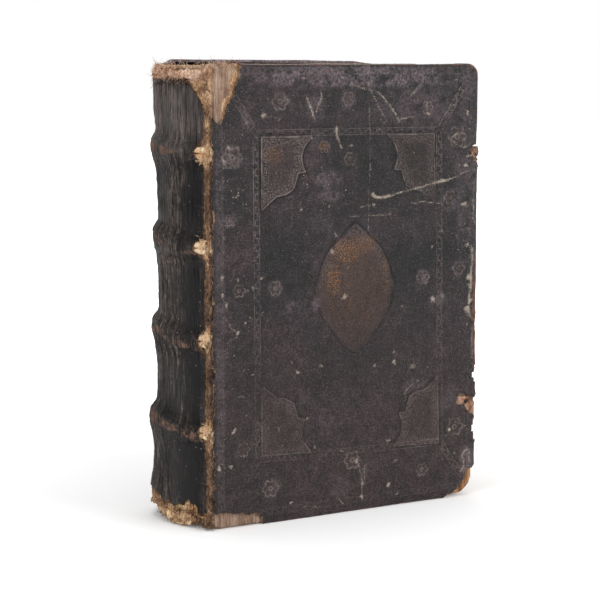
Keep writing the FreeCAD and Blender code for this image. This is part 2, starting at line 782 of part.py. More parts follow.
# Checks and files
doc.recompute()
for item in doc.Objects:
    if "Invalid" in item.State or "Error" in item.State:
        raise RuntimeError(f"{item.Name} did not compute: {item.State}")
os.makedirs("parts", exist_ok=True)
for node in nodes:
    if node.Shape.isNull() or not node.Shape.isValid():
        raise RuntimeError(f"{node.Label} has no valid shape")
    node.Shape.exportStep(f"parts/{node.Label}.step")
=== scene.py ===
# %% [markdown]
# # An old folio in leather over wooden boards
#
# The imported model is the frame: it says where each board, cord and leaf stands, and what turns with
# what. The looks go on top of it. Each cell makes one piece or one finish of the book.

# %% Load the frame
import bpy
import numpy as np
from mathutils import Matrix, Vector


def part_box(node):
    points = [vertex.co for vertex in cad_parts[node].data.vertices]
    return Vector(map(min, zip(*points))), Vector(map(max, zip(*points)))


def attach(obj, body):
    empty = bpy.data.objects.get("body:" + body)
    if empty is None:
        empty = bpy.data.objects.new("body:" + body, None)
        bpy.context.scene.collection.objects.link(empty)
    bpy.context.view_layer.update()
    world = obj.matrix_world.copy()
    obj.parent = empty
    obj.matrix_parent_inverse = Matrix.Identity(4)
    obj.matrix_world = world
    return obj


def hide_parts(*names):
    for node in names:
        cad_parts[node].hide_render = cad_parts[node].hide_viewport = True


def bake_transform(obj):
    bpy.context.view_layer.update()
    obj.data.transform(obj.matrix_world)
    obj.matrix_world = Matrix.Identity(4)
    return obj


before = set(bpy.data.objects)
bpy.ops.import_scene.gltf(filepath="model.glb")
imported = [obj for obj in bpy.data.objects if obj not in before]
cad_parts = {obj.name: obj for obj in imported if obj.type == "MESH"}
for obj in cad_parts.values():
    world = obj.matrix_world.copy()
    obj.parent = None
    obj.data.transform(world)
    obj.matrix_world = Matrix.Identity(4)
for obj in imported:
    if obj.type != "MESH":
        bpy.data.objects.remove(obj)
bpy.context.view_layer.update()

# %% [markdown]
# ## Sizes
# The book's own measures come from the boxes of the CAD nodes, in millimetres, so that a new piece sits
# where the solid was. The joint is the line at the spine edge of the front cover.

# %% Sizes from the frame
MM = 0.001


def box_in_mm(node):
    """The lowest and the highest corner of a CAD node's box, in millimetres."""
    return [np.array(corner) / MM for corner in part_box(node)]


JOINT_GAP = 0.3
low, high = box_in_mm("front_leather")
JOINT = low[0] - JOINT_GAP
FORE = high[0]
FACE = -low[1]
INNER_FACE = -high[1]
TOP = high[2]
low, high = box_in_mm("front_board")
BOARD_FACE = -low[1]
BOARD_BACK = -high[1]
BOARD_LOW = low[2]
BOARD_TOP = high[2]
BOARD_FORE = high[0]
low, high = box_in_mm("text_block")
LEAF_LOW = low[2]
LEAF_TOP = high[2]
LEAF_FORE = high[0]
HALF_TEXT = high[1]
SPINE_ROUND = JOINT - low[0]
SPINE_RADIUS = HALF_TEXT**2 / (2 * SPINE_ROUND) + SPINE_ROUND / 2
SPINE_CENTRE = JOINT - SPINE_ROUND + SPINE_RADIUS
BAND_HEIGHTS = [sum(corner[2] for corner in box_in_mm(f"sewing_support_{i}")) / 2 for i in (1, 2, 3, 4)]
print("joint", JOINT, "fore edge", FORE, "bands", BAND_HEIGHTS)

# %% [markdown]
# ## Roughness that repeats each run
# Old leather and torn fibre are irregular. Value noise makes that: random heights on a square lattice,
# joined by a smooth step. Layers of it, each half as large and half as strong, give both lumps and
# grain. The lattice comes from a seed, so the book is the same each time.


# %% Noise
def value_noise(u, v, cell, seed):
    """Heights from -1 to 1: a random value at each lattice point, joined by the step 3t^2 - 2t^3."""
    lattice = np.random.default_rng(seed).uniform(-1, 1, (256, 256))
    u = np.asarray(u, float) / cell
    v = np.asarray(v, float) / cell
    i = np.floor(u).astype(int)
    j = np.floor(v).astype(int)
    a = u - i
    b = v - j
    a = a * a * (3 - 2 * a)
    b = b * b * (3 - 2 * b)
    low_row = lattice[i % 256, j % 256] * (1 - a) + lattice[(i + 1) % 256, j % 256] * a
    high_row = lattice[i % 256, (j + 1) % 256] * (1 - a) + lattice[(i + 1) % 256, (j + 1) % 256] * a
    return low_row * (1 - b) + high_row * b


def rough(u, v, cell, seed, layers=3):
    """Layers of noise, each of half the size and half the height of the one before."""
    return sum(value_noise(u, v, cell / 2**k, seed + k) / 2**k for k in range(layers))


def ramp(value, start, end):
    """A smooth rise from 0 at start to 1 at end."""
    share = np.clip((value - start) / (end - start), 0, 1)
    return share * share * (3 - 2 * share)


def bell(value, width, power=2):
    """A bell curve: 1 at 0, by the formula e to the minus of value over width to the power."""
    return np.exp(-(np.abs(value / width) ** power))


def fading(edge, reach):
    """1 at a torn edge and less with the distance inside it."""
    return np.exp(-np.maximum(edge, 0) / reach)


# %% [markdown]
# ## Surfaces on a grid
# Nearly every piece is a sheet: a function of two parameters worked out for a whole grid of points at
# once. Fields such as the distance to a torn edge are kept on the points, and the materials read them.


# %% Meshes from arrays
def grid_faces(rows, columns, flip=False):
    """The four-cornered faces between neighbouring points of a grid."""
    corner = (np.arange(rows - 1)[:, None] * columns + np.arange(columns - 1)[None, :]).ravel()
    faces = np.stack([corner, corner + 1, corner + 1 + columns, corner + columns], axis=1)
    return faces[:, ::-1] if flip else faces


def grid_normals(points, flip=False):
    """Unit normals of a grid of points: the cross product of its two directions."""
    normals = np.cross(np.gradient(points, axis=1), np.gradient(points, axis=0))
    normals /= np.maximum(np.linalg.norm(normals, axis=2, keepdims=True), 1e-9)
    return -normals if flip else normals


def add_rim(points, normals, faces, wanted, depth):
    """Turns a torn edge down: each free edge between wanted points gets a wall of the given depth.
    Returns the new points, faces and the index of the point above each new one."""
    edges = np.concatenate([faces[:, [k, (k + 1) % 4]] for k in range(4)])
    ordered = np.sort(edges, axis=1)
    code = ordered[:, 0] * len(points) + ordered[:, 1]
    _, first, count = np.unique(code, return_index=True, return_counts=True)
    free = edges[first[count == 1]]
    free = free[wanted[free].all(axis=1)]
    above = np.unique(free)
    place = np.full(len(points), -1)
    place[above] = len(points) + np.arange(len(above))
    walls = np.stack([free[:, 1], free[:, 0], place[free[:, 0]], place[free[:, 1]]], axis=1)
    lower = points[above] - normals[above] * depth
    return np.concatenate([points, lower]), np.concatenate([faces, walls]), above


def new_piece(name, points, faces, body, material, fields=None):
    """A mesh object at the origin from points in millimetres. It rides on a body of the frame where body
    names one. Where body holds two bodies and the runs in x between them, these are not used, and the piece
    rides on no body."""
    used, faces = np.unique(faces, return_inverse=True)
    faces = faces.reshape(-1, 4)
    mesh = bpy.data.meshes.new(name)
    mesh.vertices.add(len(used))
    mesh.vertices.foreach_set("co", (points[used] * MM).ravel())
    mesh.loops.add(faces.size)
    mesh.loops.foreach_set("vertex_index", faces.ravel())
    mesh.polygons.add(len(faces))
    mesh.polygons.foreach_set("loop_start", np.arange(0, faces.size, 4))
    mesh.polygons.foreach_set("use_smooth", np.ones(len(faces), bool))
    for field, values in (fields or {}).items():
        mesh.attributes.new(field, "FLOAT", "POINT").data.foreach_set("value", values[used])
    mesh.update(calc_edges=True)
    mesh.validate()
    mesh.materials.append(material)
    piece = bpy.data.objects.new(name, mesh)
    bpy.context.scene.collection.objects.link(piece)
    if isinstance(body, str):
        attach(piece, body)
    else:
        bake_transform(piece)
    print(name, len(faces) * 2, "triangles")
    return piece


def torn_sheet(name, points, normals, faces, kept, rim, depth, body, material, fields, at_rim):
    """A piece from a grid of points, less the places that are torn off. A wall goes down from the rim, and
    at_rim gives the fields that have a value of their own on it."""
    faces = faces[kept.ravel()[faces].all(axis=1)]
    points, faces, above = add_rim(points.reshape(-1, 3), normals.reshape(-1, 3), faces, rim.ravel(), depth)
    fields = {key: np.append(values, values.ravel()[above]) for key, values in fields.items()}
    for key, value in at_rim.items():
        fields[key][kept.size :] = value
    return new_piece(name, points, faces, body, material, fields)


# %% [markdown]
# ## Finishes
# Each material is a small graph of nodes. A value in the graph can be added and multiplied like a
# number, and each such sum is one node. Colours are written as sRGB hex, the way a picture shows them,
# and turned to the linear values that light works with.


# %% Values in a graph
class Value:
    """An output in a shader's graph. Sums on it add nodes."""

    def __init__(self, socket):
        self.socket = socket

    def __add__(self, other):
        return maths("ADD", self, other)

    def __sub__(self, other):
        return maths("SUBTRACT", self, other)

    def __mul__(self, other):
        return maths("MULTIPLY", self, other)

    def __abs__(self):
        return maths("ABSOLUTE", self)


def linear(hex_colour):
    """sRGB hex to linear RGBA, by the standard curve."""
    parts = [int(hex_colour[i : i + 2], 16) / 255 for i in (1, 3, 5)]
    return [p / 12.92 if p <= 0.04045 else ((p + 0.055) / 1.055) ** 2.4 for p in parts] + [1.0]


def set_inputs(node, inputs):
    """Links each input that is given a value of the graph, and sets the others. A text is a colour."""
    for key, value in inputs.items():
        if isinstance(value, Value):
            node.id_data.links.new(value.socket, node.inputs[key])
        else:
            node.inputs[key].default_value = linear(value) if isinstance(value, str) else value


def add_node(tree, kind, inputs=None, **settings):
    """Adds a node with its settings and inputs."""
    node = tree.nodes.new("ShaderNode" + kind)
    for key, value in settings.items():
        setattr(node, key, value)
    set_inputs(node, inputs or {})
    return node


def derive(kind, inputs, output=0, **settings):
    """A value worked out by one node from others of the same graph."""
    tree = next(value.socket.id_data for value in inputs.values() if isinstance(value, Value))
    return Value(add_node(tree, kind, inputs, **settings).outputs[output])


def maths(operation, *values):
    """One Math node on values or numbers."""
    return derive("Math", dict(enumerate(values)), operation=operation)


def most(first, *others):
    """The largest of several values."""
    for other in others:
        first = maths("MAXIMUM", first, other)
    return first


def vectors(operation, first, second):
    """One node on two vectors."""
    return derive("VectorMath", {0: first, 1: second}, operation=operation)


def stretch(value, start, end, low=0.0, high=1.0, smooth=False):
    """Maps start..end to low..high and clamps it."""
    kind = "SMOOTHSTEP" if smooth else "LINEAR"
    inputs = {"Value": value, "From Min": start, "From Max": end, "To Min": low, "To Max": high}
    return derive("MapRange", inputs, interpolation_type=kind)


def noise(vector, scale, detail=4, roughness=0.6):
    """Noise of so many lumps per millimetre."""
    inputs = {"Vector": vector, "Scale": scale, "Detail": detail, "Roughness": roughness}
    return derive("TexNoise", inputs, "Fac")


def frayed_field(wear, field, amount, start, end):
    """A field of the mesh whose edge is frayed by noise."""
    return stretch(wear * amount + -amount / 2 + field, start, end)


def blend(factor, first, second):
    """first where factor is 0, second where it is 1. Each is a colour."""
    return derive("Mix", {0: factor, 6: first, 7: second}, 2, data_type="RGBA")


def line(distance, middle, width):
    """A soft line where a distance is near middle: 1 on the line and 0 outside its width."""
    return stretch(abs(distance - middle), width * 0.35, width * 1.2, 1, 0, smooth=True)


def flecks(vector, scale, size, power, softness):
    """Small spots of uneven size: cells of random size, each with a spot that is often too small to see."""
    inputs = {"Vector": vector, "Scale": scale, "Randomness": 1}
    colour = derive("TexVoronoi", inputs, "Color")
    distance = Value(colour.socket.node.outputs["Distance"])
    radius = maths("POWER", derive("SeparateXYZ", {0: colour}), power) * size
    return stretch(radius - distance, 0, softness)


def new_material(name, *fields):
    """An empty material, its shader, the coordinates in millimetres, and fields of the mesh."""
    material = bpy.data.materials.new(name)
    material.use_nodes = True
    tree = material.node_tree
    tree.nodes.clear()
    shader = add_node(tree, "BsdfPrincipled")
    add_node(tree, "OutputMaterial", {"Surface": Value(shader.outputs[0])})
    place = Value(add_node(tree, "TexCoord").outputs["Object"])
    mm = derive("VectorMath", {0: place, "Scale": 1 / MM}, operation="SCALE")
    read = {key: Value(add_node(tree, "Attribute", attribute_name=key).outputs["Fac"]) for key in fields}
    return material, shader, mm, read


def finish(shader, colour, roughness, specular, height, depth, strength=1.0):
    """Fills in the shader: its colour and polish, and a relief of so many millimetres."""
    normal = derive("Bump", {"Height": height, "Strength": strength, "Distance": depth * MM})
    looks = {"Base Color": colour, "Roughness": roughness, "Specular IOR Level": specular, "Normal": normal}
    set_inputs(shader, looks)


# %% [markdown]
# ### Blind-tooled calf
# The covers are calf leather, dyed dark and polished by hands for centuries. The colour drifts between a
# purplish brown, blue black and warm brown in patches a few centimetres wide. Blind tooling is pressed in
# with hot brass and no gold. Its ridges are rubbed pale, and that pale is also a painted highlight on them.
# A near-black line is painted beside each ornament's outline as the shadow of its groove. The pattern
# itself is worked out on the mesh as distances in millimetres, and the shader turns each distance into a
# thin line, so the lines stay sharp between the mesh's points.

# %% Tooling as lines
ROLL_PITCH = 8.6
ROLL_LINE = 2.15


def tooled_lines(field, mm):
    """Pale ridges, rubbed and partly painted as highlights, the painted shadow beside the ornaments'
    outlines, and the dark panel lines, of the rolls, ornaments and flower stamps.
    """
    centre, corner = field["centre_edge"], field["corner_edge"]
    off_centre = abs(field["roll_across"])
    turn = maths("SINE", field["roll_run"] * (2 * np.pi / ROLL_PITCH))
    vine = line(field["roll_across"] - turn * 1.15, 0, 0.42)
    step = maths("PINGPONG", field["roll_run"], ROLL_PITCH / 4)
    bars = line(step, 0, 0.42) * stretch(off_centre, 1.3, 1.7, 1, 0)
    broken = stretch(noise(mm, 0.55, 4, 0.75), 0.43, 0.58, 0.05, 1.0)
    rolls = most(line(off_centre, ROLL_LINE, 0.36), most(vine, bars) * 0.75) * (broken * field["roll_kept"])

    uneven = stretch(noise(mm, 0.16, 5, 0.75), 0.42, 0.6, 0.12, 1.0)
    # outline is each ornament's ridge, rubbed pale and also a painted highlight; beside is the painted
    # shadow in the groove just outside it
    outline = most(line(centre, 0, 0.9) * 0.4, line(corner, 0, 0.6)) * field["stamp_kept"] * uneven
    beside = most(line(centre, -1.35, 0.8), line(corner, -1.3, 0.75)) * field["stamp_kept"]
    scrolls = maths("SINE", centre * (2 * np.pi / 1.7))
    wobble = maths("SINE", corner * (2 * np.pi / 1.9))
    deep = most(centre, corner)
    border = stretch(deep, 0.6, 1.2) * stretch(deep, 3.0, 7.5, 1.0, 0.2)
    lace = stretch(noise(mm, 1.0, 1, 0.5) + most(scrolls, wobble) * 0.045, 0.53, 0.6)
    lace = lace * border * field["stamp_kept"]
    arch = most(line(centre, 11.5, 0.6), line(centre, 17.5, 0.6)) * 0.8 * uneven

    radius = maths("SQRT", field["rose_u"] * field["rose_u"] + field["rose_v"] * field["rose_v"])
    angle = maths("ARCTAN2", field["rose_v"], field["rose_u"]) * 3.0
    petal_edge = radius + (abs(maths("COSINE", angle)) * -0.3 + -0.7)
    rubbed = uneven * stretch(broken, 0, 1, 0.4, 1.0)
    rose = most(line(petal_edge, -0.05, 0.13), line(radius, 0.22, 0.1)) * rubbed
    return {
        "rolls": rolls,
        "outline": outline,
        "beside": beside,
        "lace": lace,
        "arch": arch,
        "rose": rose,
        "in_rose": stretch(petal_edge, -0.2, 0.0, 1, 0),
        "inner": most(stretch(centre, -0.2, 1.4), stretch(corner, -0.2, 0.9) * 0.5),
    }


# %% Tooled leather material
TOOLED_FIELDS = ("roll_across", "roll_run", "roll_kept", "stamp_kept", "centre_edge", "corner_edge")
TOOLED_FIELDS += ("rose_u", "rose_v", "scuff_and_highlight", "fleck", "gilt", "flesh", "worn", "smudge_and_lit_rim")


def tooled_leather(name):
    """Patches of colour times grain, under the tooling, dust, scratches, worn edges and torn rims."""
    material, shader, mm, field = new_material(name, *TOOLED_FIELDS)
    shift = vectors("ADD", mm, (311, 87, 529))

    # patches of colour, then mottling at the size of pores and rubbed grain
    base = blend(stretch(noise(mm, 0.02, 5, 0.62), 0.42, 0.6), "#2c2529", "#35292d")
    base = blend(stretch(noise(shift, 0.017, 6, 0.66), 0.45, 0.58), base, "#17171a")
    up = derive("SeparateXYZ", {"Vector": mm}, 2)
    base = blend(stretch(up, 190, 60, 0, 0.5, True), base, "#3c2d2e")
    grain = noise(mm, 0.75, 5, 0.75)
    lumps = noise(shift, 0.13, 5, 0.7)
    shade = stretch(grain, 0.36, 0.66, 0.05, 1.75) * stretch(lumps, 0.34, 0.66, 0.4, 1.4)
    skin = derive("VectorMath", {0: base, "Scale": shade}, operation="SCALE")
    hairs = [noise(vectors("MULTIPLY", mm, way), 1.1, 3, 0.7) for way in ((1, 1, 0.06), (0.06, 1, 1))]
    hairs = stretch(most(*hairs), 0.6, 0.74) * stretch(lumps, 0.42, 0.62)
    skin = blend(hairs * 0.4, skin, "#82766f")

    # ornaments: red brown inside, painted shadow beside each outline and dark panel lines, and ridges pale
    # where rubbed and painted lighter as their highlight
    lines = tooled_lines(field, mm)
    dark = most(lines["beside"], lines["arch"] * 0.9)
    pale = most(lines["rolls"] * 0.9, lines["outline"] * 0.8, lines["lace"] * 0.42, lines["rose"] * 0.7)
    glint = stretch(noise(mm, 1.25, 2, 0.6), 0.5, 0.62)
    skin = blend(lines["inner"] * 0.42, skin, "#35231d")
    skin = blend(lines["in_rose"] * 0.35, skin, "#3c2a26")
    # near black: the painted shadow beside each outline, and the dark panel lines
    skin = blend(dark * 0.75, skin, "#120f10")
    # pale ridges: rubbed, and painted lighter as their highlight
    skin = blend(pale, skin, "#8b7e79")
    skin = blend(glint * field["gilt"], skin, "#9a6a3a")

    # worn patches are rubbed to a dusty grey, and the back skin's shaded head edge is painted that lighter
    # grey as painted light; then a sprinkle of flecks and longer marks
    skin = blend(stretch(noise(shift, 0.5, 5, 0.75), 0.4, 0.7) * field["smudge_and_lit_rim"], skin, "#917f86")
    crumpled = vectors("ADD", mm, derive("TexNoise", {"Vector": mm, "Scale": 0.7}, "Color"))
    chips = most(flecks(crumpled, 0.36, 0.24, 3.5, 0.14), flecks(shift, 0.75, 0.42, 2.2, 0.3) * 0.6)
    # the marks are scratches and chips, and along the front skin's head edge a painted highlight
    mark = stretch(noise(mm, 1.4, 4, 0.75) * 3.0 + -1.62 + field["scuff_and_highlight"], 0.15, 0.75)
    mark = most(mark, chips * field["fleck"] * 0.75)
    skin = blend(mark * 0.9, skin, blend(stretch(lumps, 0.42, 0.6), "#b3aa9d", "#9b8a7d"))

    # worn edges go through to reddish brown, and torn rims to tan
    wear = noise(mm, 0.3, 6, 0.75)
    torn = frayed_field(wear, field["flesh"], 2.6, 0.5, 0.85)
    skin = blend(frayed_field(wear, field["worn"], 1.7, 0.35, 0.75), skin, "#6d4a3a")
    skin = blend(torn, skin, "#9c8066")

    # polish: the smooth grain shines, rubbed marks do not. Relief: pores, grain and the pressed lines
    polish = most(mark, torn) * 0.3 + stretch(noise(shift, 0.12, 5, 0.65), 0.3, 0.7, 0.4, 0.62)
    pores = derive("TexVoronoi", {"Vector": mm, "Scale": 0.95, "Randomness": 1}, "Distance")
    relief = grain * 1.3 + pores * 0.3 + pale * 0.8 + dark * -0.8 + mark * -0.3
    finish(shader, skin, polish, 0.32, relief, 0.5)
    return material


COVER_LEATHER = tooled_leather("blind_tooled_calf")

# %% [markdown]
# ### Spine leather
# The spine is the same skin, but a century of opening has creased it from head to tail. The ridges
# between the creases are rubbed grey and catch the light, and dry rot has browned the lower sides of the
# raised bands.


# %% Spine leather material
def creased_leather(name):
    """Near black in the creases and grey on their ridges, brown where bare, tan at torn rims."""
    material, shader, mm, field = new_material(name, "bare", "flesh", "crease", "shade")
    long_way = vectors("MULTIPLY", mm, (1, 1, 0.05))
    streak = noise(long_way, 0.85, 5, 0.7)
    chip = noise(mm, 0.45, 6, 0.75)
    patch = noise(mm, 0.05, 5, 0.65)
    skin = blend(stretch(patch, 0.4, 0.62), "#080706", "#191210")
    height = field["crease"] * 0.35 + noise(long_way, 2.4, 2, 0.6) + streak * 0.7
    ridge = stretch(height, 0.96, 1.2) * stretch(chip, 0.4, 0.6, 0.3, 1.0)
    ridge = ridge * stretch(patch, 0.4, 0.58, 0.3, 1.0)
    up = derive("SeparateXYZ", {"Vector": mm}, 2)
    through = frayed_field(chip, field["bare"], 2.4, 0.4, 0.8)
    skin = blend(stretch(up, 252, 268) * stretch(height, 0.78, 1.1, 0.02, 0.42), skin, "#8a7f7b")
    skin = blend(ridge * 0.85, skin, "#91827b")
    skin = blend(field["shade"], skin, "#0d0c0d")
    skin = blend(flecks(mm, 0.4, 0.26, 4.0, 0.14) * 0.6, skin, "#a1968c")
    skin = blend(through, skin, blend(stretch(streak, 0.4, 0.6), "#2f211b", "#84685a"))
    skin = blend(frayed_field(chip, field["flesh"], 2.4, 0.45, 0.8), skin, "#957455")
    polish = through * 0.35 + stretch(streak, 0.3, 0.7, 0.3, 0.5)
    finish(shader, skin, polish, 0.28, chip * 0.4 + height, 0.9)
    return material


SPINE_LEATHER = creased_leather("creased_spine_calf")

# %% [markdown]
# ### Dry finishes
# Bare oak, torn flesh of the skin, frayed hemp and old paper are all matt and pale brown. What tells
# them apart is the grain: long pores in oak, a felt of short fibres in torn leather, twist in cord,
# sheets in paper. One builder makes them all: two noises stretched along the way the fibres lie, and
# three colours.


# %% Fibre materials
def three_colours(mixed, colours, dark_until=0.34, light_from=0.7):
    """A dark, a middle and a light colour over a noise."""
    tone = blend(stretch(mixed, dark_until, 0.5), colours[0], colours[1])
    return blend(stretch(mixed, 0.5, light_from), tone, colours[2])


def fibre_finish(name, colours, grain, scale, depth, roughness=0.85, pale=None):
    """Three colours over noise that is longer along the fibres. Where pale gives three lighter colours, the
    field of that name on the mesh leads from the first three to them."""
    material, shader, mm, field = new_material(name, *(("pale",) if pale else ()))
    fibres = noise(vectors("MULTIPLY", mm, grain), scale, 6, 0.72)
    mixed = noise(mm, 0.09, 5, 0.65) * 0.7 + -0.35 + fibres
    colour = three_colours(mixed, colours)
    if pale:
        lighter = frayed_field(fibres, field["pale"], 1.2, 0.2, 0.8)
        colour = blend(lighter, colour, three_colours(mixed, pale))
    finish(shader, colour, roughness, 0.3, fibres, depth, 0.9)
    return material


EVEN = (1, 1, 1)
TAN = ("#7c5a40", "#b48c68", "#dfc09c")
FALLOW = ("#3f2a1c", "#a67d56", "#fbe0b4")
OAK = fibre_finish("bare_oak", ("#5f4a3b", "#8e7462", "#b39b88"), (1, 1, 0.07), 0.6, 0.5)
OAK_BREAK = fibre_finish("broken_oak", ("#4a3021", "#8b6243", "#b98e66"), (1, 1, 0.12), 0.5, 0.6)
FELT = (1, 1, 0.5)
TORN_SKIN = fibre_finish("torn_calf_flesh", ("#2b1f19", "#654d3e", "#9c7d62"), FELT, 0.9, 0.8, 0.95, TAN)
HEAD_FIBRE = fibre_finish("rotted_calf_fibre", ("#6b4836", "#cda486", "#fff0de"), EVEN, 0.75, 0.8, 0.95)
ROT = ("#2b1f19", "#7a5c46", "#b8926c")
TAIL_SKIN = fibre_finish("rotten_tail_skin", ROT, (1, 1, 0.6), 0.55, 1.2, 0.95, FALLOW)
CORD = fibre_finish("frayed_hemp_cord", ("#c0905f", "#f4d4ac", "#fff0da"), EVEN, 1.1, 0.4, 0.95)
# near-black fibres that paint the shadow under the head roll
SHADOW_FIBRE = fibre_finish("painted_shadow_fibre", ("#140e0b", "#30211a", "#5d4435"), EVEN, 0.8, 0.5, 0.9)
PAPER = fibre_finish("old_rag_paper", ("#b7a37e", "#c6b28d", "#d3c19c"), EVEN, 0.05, 0.08)
PARCHMENT = fibre_finish("spine_parchment", ("#8a7453", "#b59c74", "#cfb891"), EVEN, 0.1, 0.1, 0.7)
THREAD = fibre_finish("endband_thread", ("#7a5f42", "#a98c66", "#d0b58c"), EVEN, 0.7, 0.2)
print("materials ready")

# %% [markdown]
# ## The tooling's plan
# A binder laid out a cover with a ruler: an outer roll near the edges, an inner frame, mitre lines
# between their corners, a lobed centrepiece, four cornerpieces and small flower stamps. Places are in
# millimetres from the joint and from the tail. The result for each point is its distance from each kind
# of line.

# %% Where the tools were pressed
OUTER_FRAME = ((7, 8.5), (7, 315), (209.5, 315), (209.5, 8.5))
INNER_FRAME = ((36, 46.8), (34.3, 273.2), (181.2, 273), (185.3, 43.5))
PANEL_LEFT = 38.4
PANEL_RIGHT = 177.2
PANEL_HEAD = 270.6
PANEL_TAIL = 48.8
PANEL_RIGHT_SLOPE = 0.0315
PANEL_TAIL_SLOPE = 0.043
CENTRE = (112.5, 163.0)
CENTREPIECE = (
    (0, 44.7), (7, 39.5), (12, 34), (19, 28.5), (22.5, 23.5), (25.7, 17), (28.5, 8), (31.5, 0),
    (29.5, -6), (27.8, -14), (24, -21), (17.5, -29.5), (12, -36), (8.5, -41.5), (0, -46),
)
CORNERPIECE = (
    (0.3, 0.3), (38.8, 0.4), (33.1, 7.1), (31, 13.6), (31.7, 19.3), (33.6, 24.7), (28.1, 25.3),
    (26.7, 30.7), (24.6, 36.4), (18.8, 39.6), (11.7, 40.7), (6, 45), (0.3, 50),
)
# Place and radius of each flower stamp
FLOWERS = (
    (52.9, 294.3, 6.5), (106.4, 295.7, 5.2), (171, 289, 5), (87.1, 262.9, 4.5), (107.9, 254.3, 5),
    (49.3, 166.4, 5.5), (21.4, 166.4, 5), (168.9, 167.1, 5.6), (199.3, 172.1, 5.2), (170, 24.3, 5.2),
    (197.9, 53.6, 7), (45, 25, 6.5), (24.3, 55, 5), (15, 215, 4.5), (16.4, 257.1, 8), (191.5, 224, 5.5),
    (196.5, 268, 8), (111, 38, 7),
)
# Ovals where a roll, a stamp or old gilding is still clear: place, half width, half height and strength
STRONG_ROLLS = (
    (34.5, 225, 6, 50, 0.85), (36, 60, 6, 14, 0.7), (35, 150, 6, 40, 0.5), (110, 273, 90, 6, 0.55),
    (182, 260, 8, 30, 0.75), (184, 160, 8, 60, 0.6), (172, 46, 14, 8, 0.65), (60, 47, 14, 7, 0.4),
    (192, 295, 14, 14, 1.3), (191, 29, 14, 14, 0.55), (27, 288, 10, 16, 0.6), (7, 160, 5, 190, 0.2),
    (90, 315, 80, 5, 0.45), (45, 32, 14, 14, 0.35),
)
STRONG_STAMPS = (
    (55, 250, 34, 36, 1.0), (163, 255, 30, 34, 0.7), (60, 65, 34, 34, 0.45), (166, 62, 30, 40, 0.6),
    (112, 188, 40, 40, 0.8), (112, 120, 30, 24, 0.2),
)
GILT = (
    (106, 189, 12, 9, 0.95), (95, 170, 6, 12, 0.8), (118, 193, 12, 7, 0.7), (137, 170, 5, 14, 0.3),
    (48, 258, 8, 6, 0.5), (87, 263, 4, 3, 0.8), (112, 163, 28, 34, 0.22),
)


def segment_distance(x, z, start, end):
    """Distance from points to a straight piece, signed by the side, and the run along the piece."""
    along = np.subtract(end, start)
    length = max(float(np.hypot(*along)), 1e-9)
    run = ((x - start[0]) * along[0] + (z - start[1]) * along[1]) / length
    across = ((z - start[1]) * along[0] - (x - start[0]) * along[1]) / length
    beyond = np.maximum(np.maximum(-run, run - length), 0)
    return np.hypot(across, beyond) * np.where(across < 0, -1, 1), run


def outline_distance(x, z, corners):
    """Signed distance to a closed outline: positive inside, by counting crossings to the right."""
    nearest = np.full(np.shape(x), 1e3)
    inside = np.zeros(np.shape(x), bool)
    for start, end in zip(corners, corners[1:] + corners[:1]):
        nearest = np.minimum(nearest, np.abs(segment_distance(x, z, start, end)[0]))
        crosses = (start[1] > z) != (end[1] > z)
        height = end[1] - start[1] if end[1] != start[1] else 1e-9
        inside ^= crosses & (x < (end[0] - start[0]) * (z - start[1]) / height + start[0])
    return np.where(inside, nearest, -nearest)


def soft_patches(p, q, patches):
    """The strongest of several soft oval patches: place, half width, half height and strength of each."""
    field = np.zeros(p.shape)
    for middle_p, middle_q, wide, high, strength in patches:
        away = np.hypot((p - middle_p) / wide, (q - middle_q) / high)
        field = np.maximum(field, strength * (1 - ramp(away, 0.6, 1.3)))
    return field


def roll_fields(p, q):
    """Signed distance to the nearest line of the rolls, and the run along that line."""
    sides = [(corners[k - 1], corners[k]) for corners in (OUTER_FRAME, INNER_FRAME) for k in (1, 2, 3, 0)]
    sides += list(zip(INNER_FRAME, OUTER_FRAME))
    found = [segment_distance(p, q, start, end) for start, end in sides]
    across = np.stack([side[0] for side in found])
    run = np.stack([side[1] for side in found])
    nearest = np.abs(across).argmin(axis=0)[None]
    return np.take_along_axis(across, nearest, 0)[0], np.take_along_axis(run, nearest, 0)[0]


def tooling(p, q):
    """All the fields of the tooling at places p from the joint and q from the tail."""
    across, run = roll_fields(p, q)
    right = [(CENTRE[0] + w, CENTRE[1] + h) for w, h in CENTREPIECE]
    left = [(CENTRE[0] - w, CENTRE[1] + h) for w, h in CENTREPIECE[-2:0:-1]]
    centre = outline_distance(p, q, right + left)
    right_side = PANEL_RIGHT + PANEL_RIGHT_SLOPE * (PANEL_HEAD - q)
    low_side = PANEL_TAIL - PANEL_TAIL_SLOPE * (p - PANEL_LEFT)
    from_side = np.minimum(p - PANEL_LEFT, right_side - p)
    from_end = np.minimum(PANEL_HEAD - q, q - low_side)
    corner = outline_distance(from_side, from_end, list(CORNERPIECE))
    places = np.array(FLOWERS, float)
    gaps = np.hypot(p[..., None] - places[:, 0], q[..., None] - places[:, 1])
    nearest = gaps.argmin(axis=-1)
    return {
        "roll_across": np.clip(across, -20, 20),
        "roll_run": run,
        "roll_kept": np.maximum(soft_patches(p, q, STRONG_ROLLS), 0.22),
        "stamp_kept": np.maximum(soft_patches(p, q, STRONG_STAMPS), 0.25),
        "centre_edge": np.clip(centre, -20, 20),
        "corner_edge": np.clip(corner, -20, 20),
        "rose_u": (p - places[nearest, 0]) / places[nearest, 2],
        "rose_v": (q - places[nearest, 1]) / places[nearest, 2],
        "gilt": soft_patches(p, q, GILT),
    }


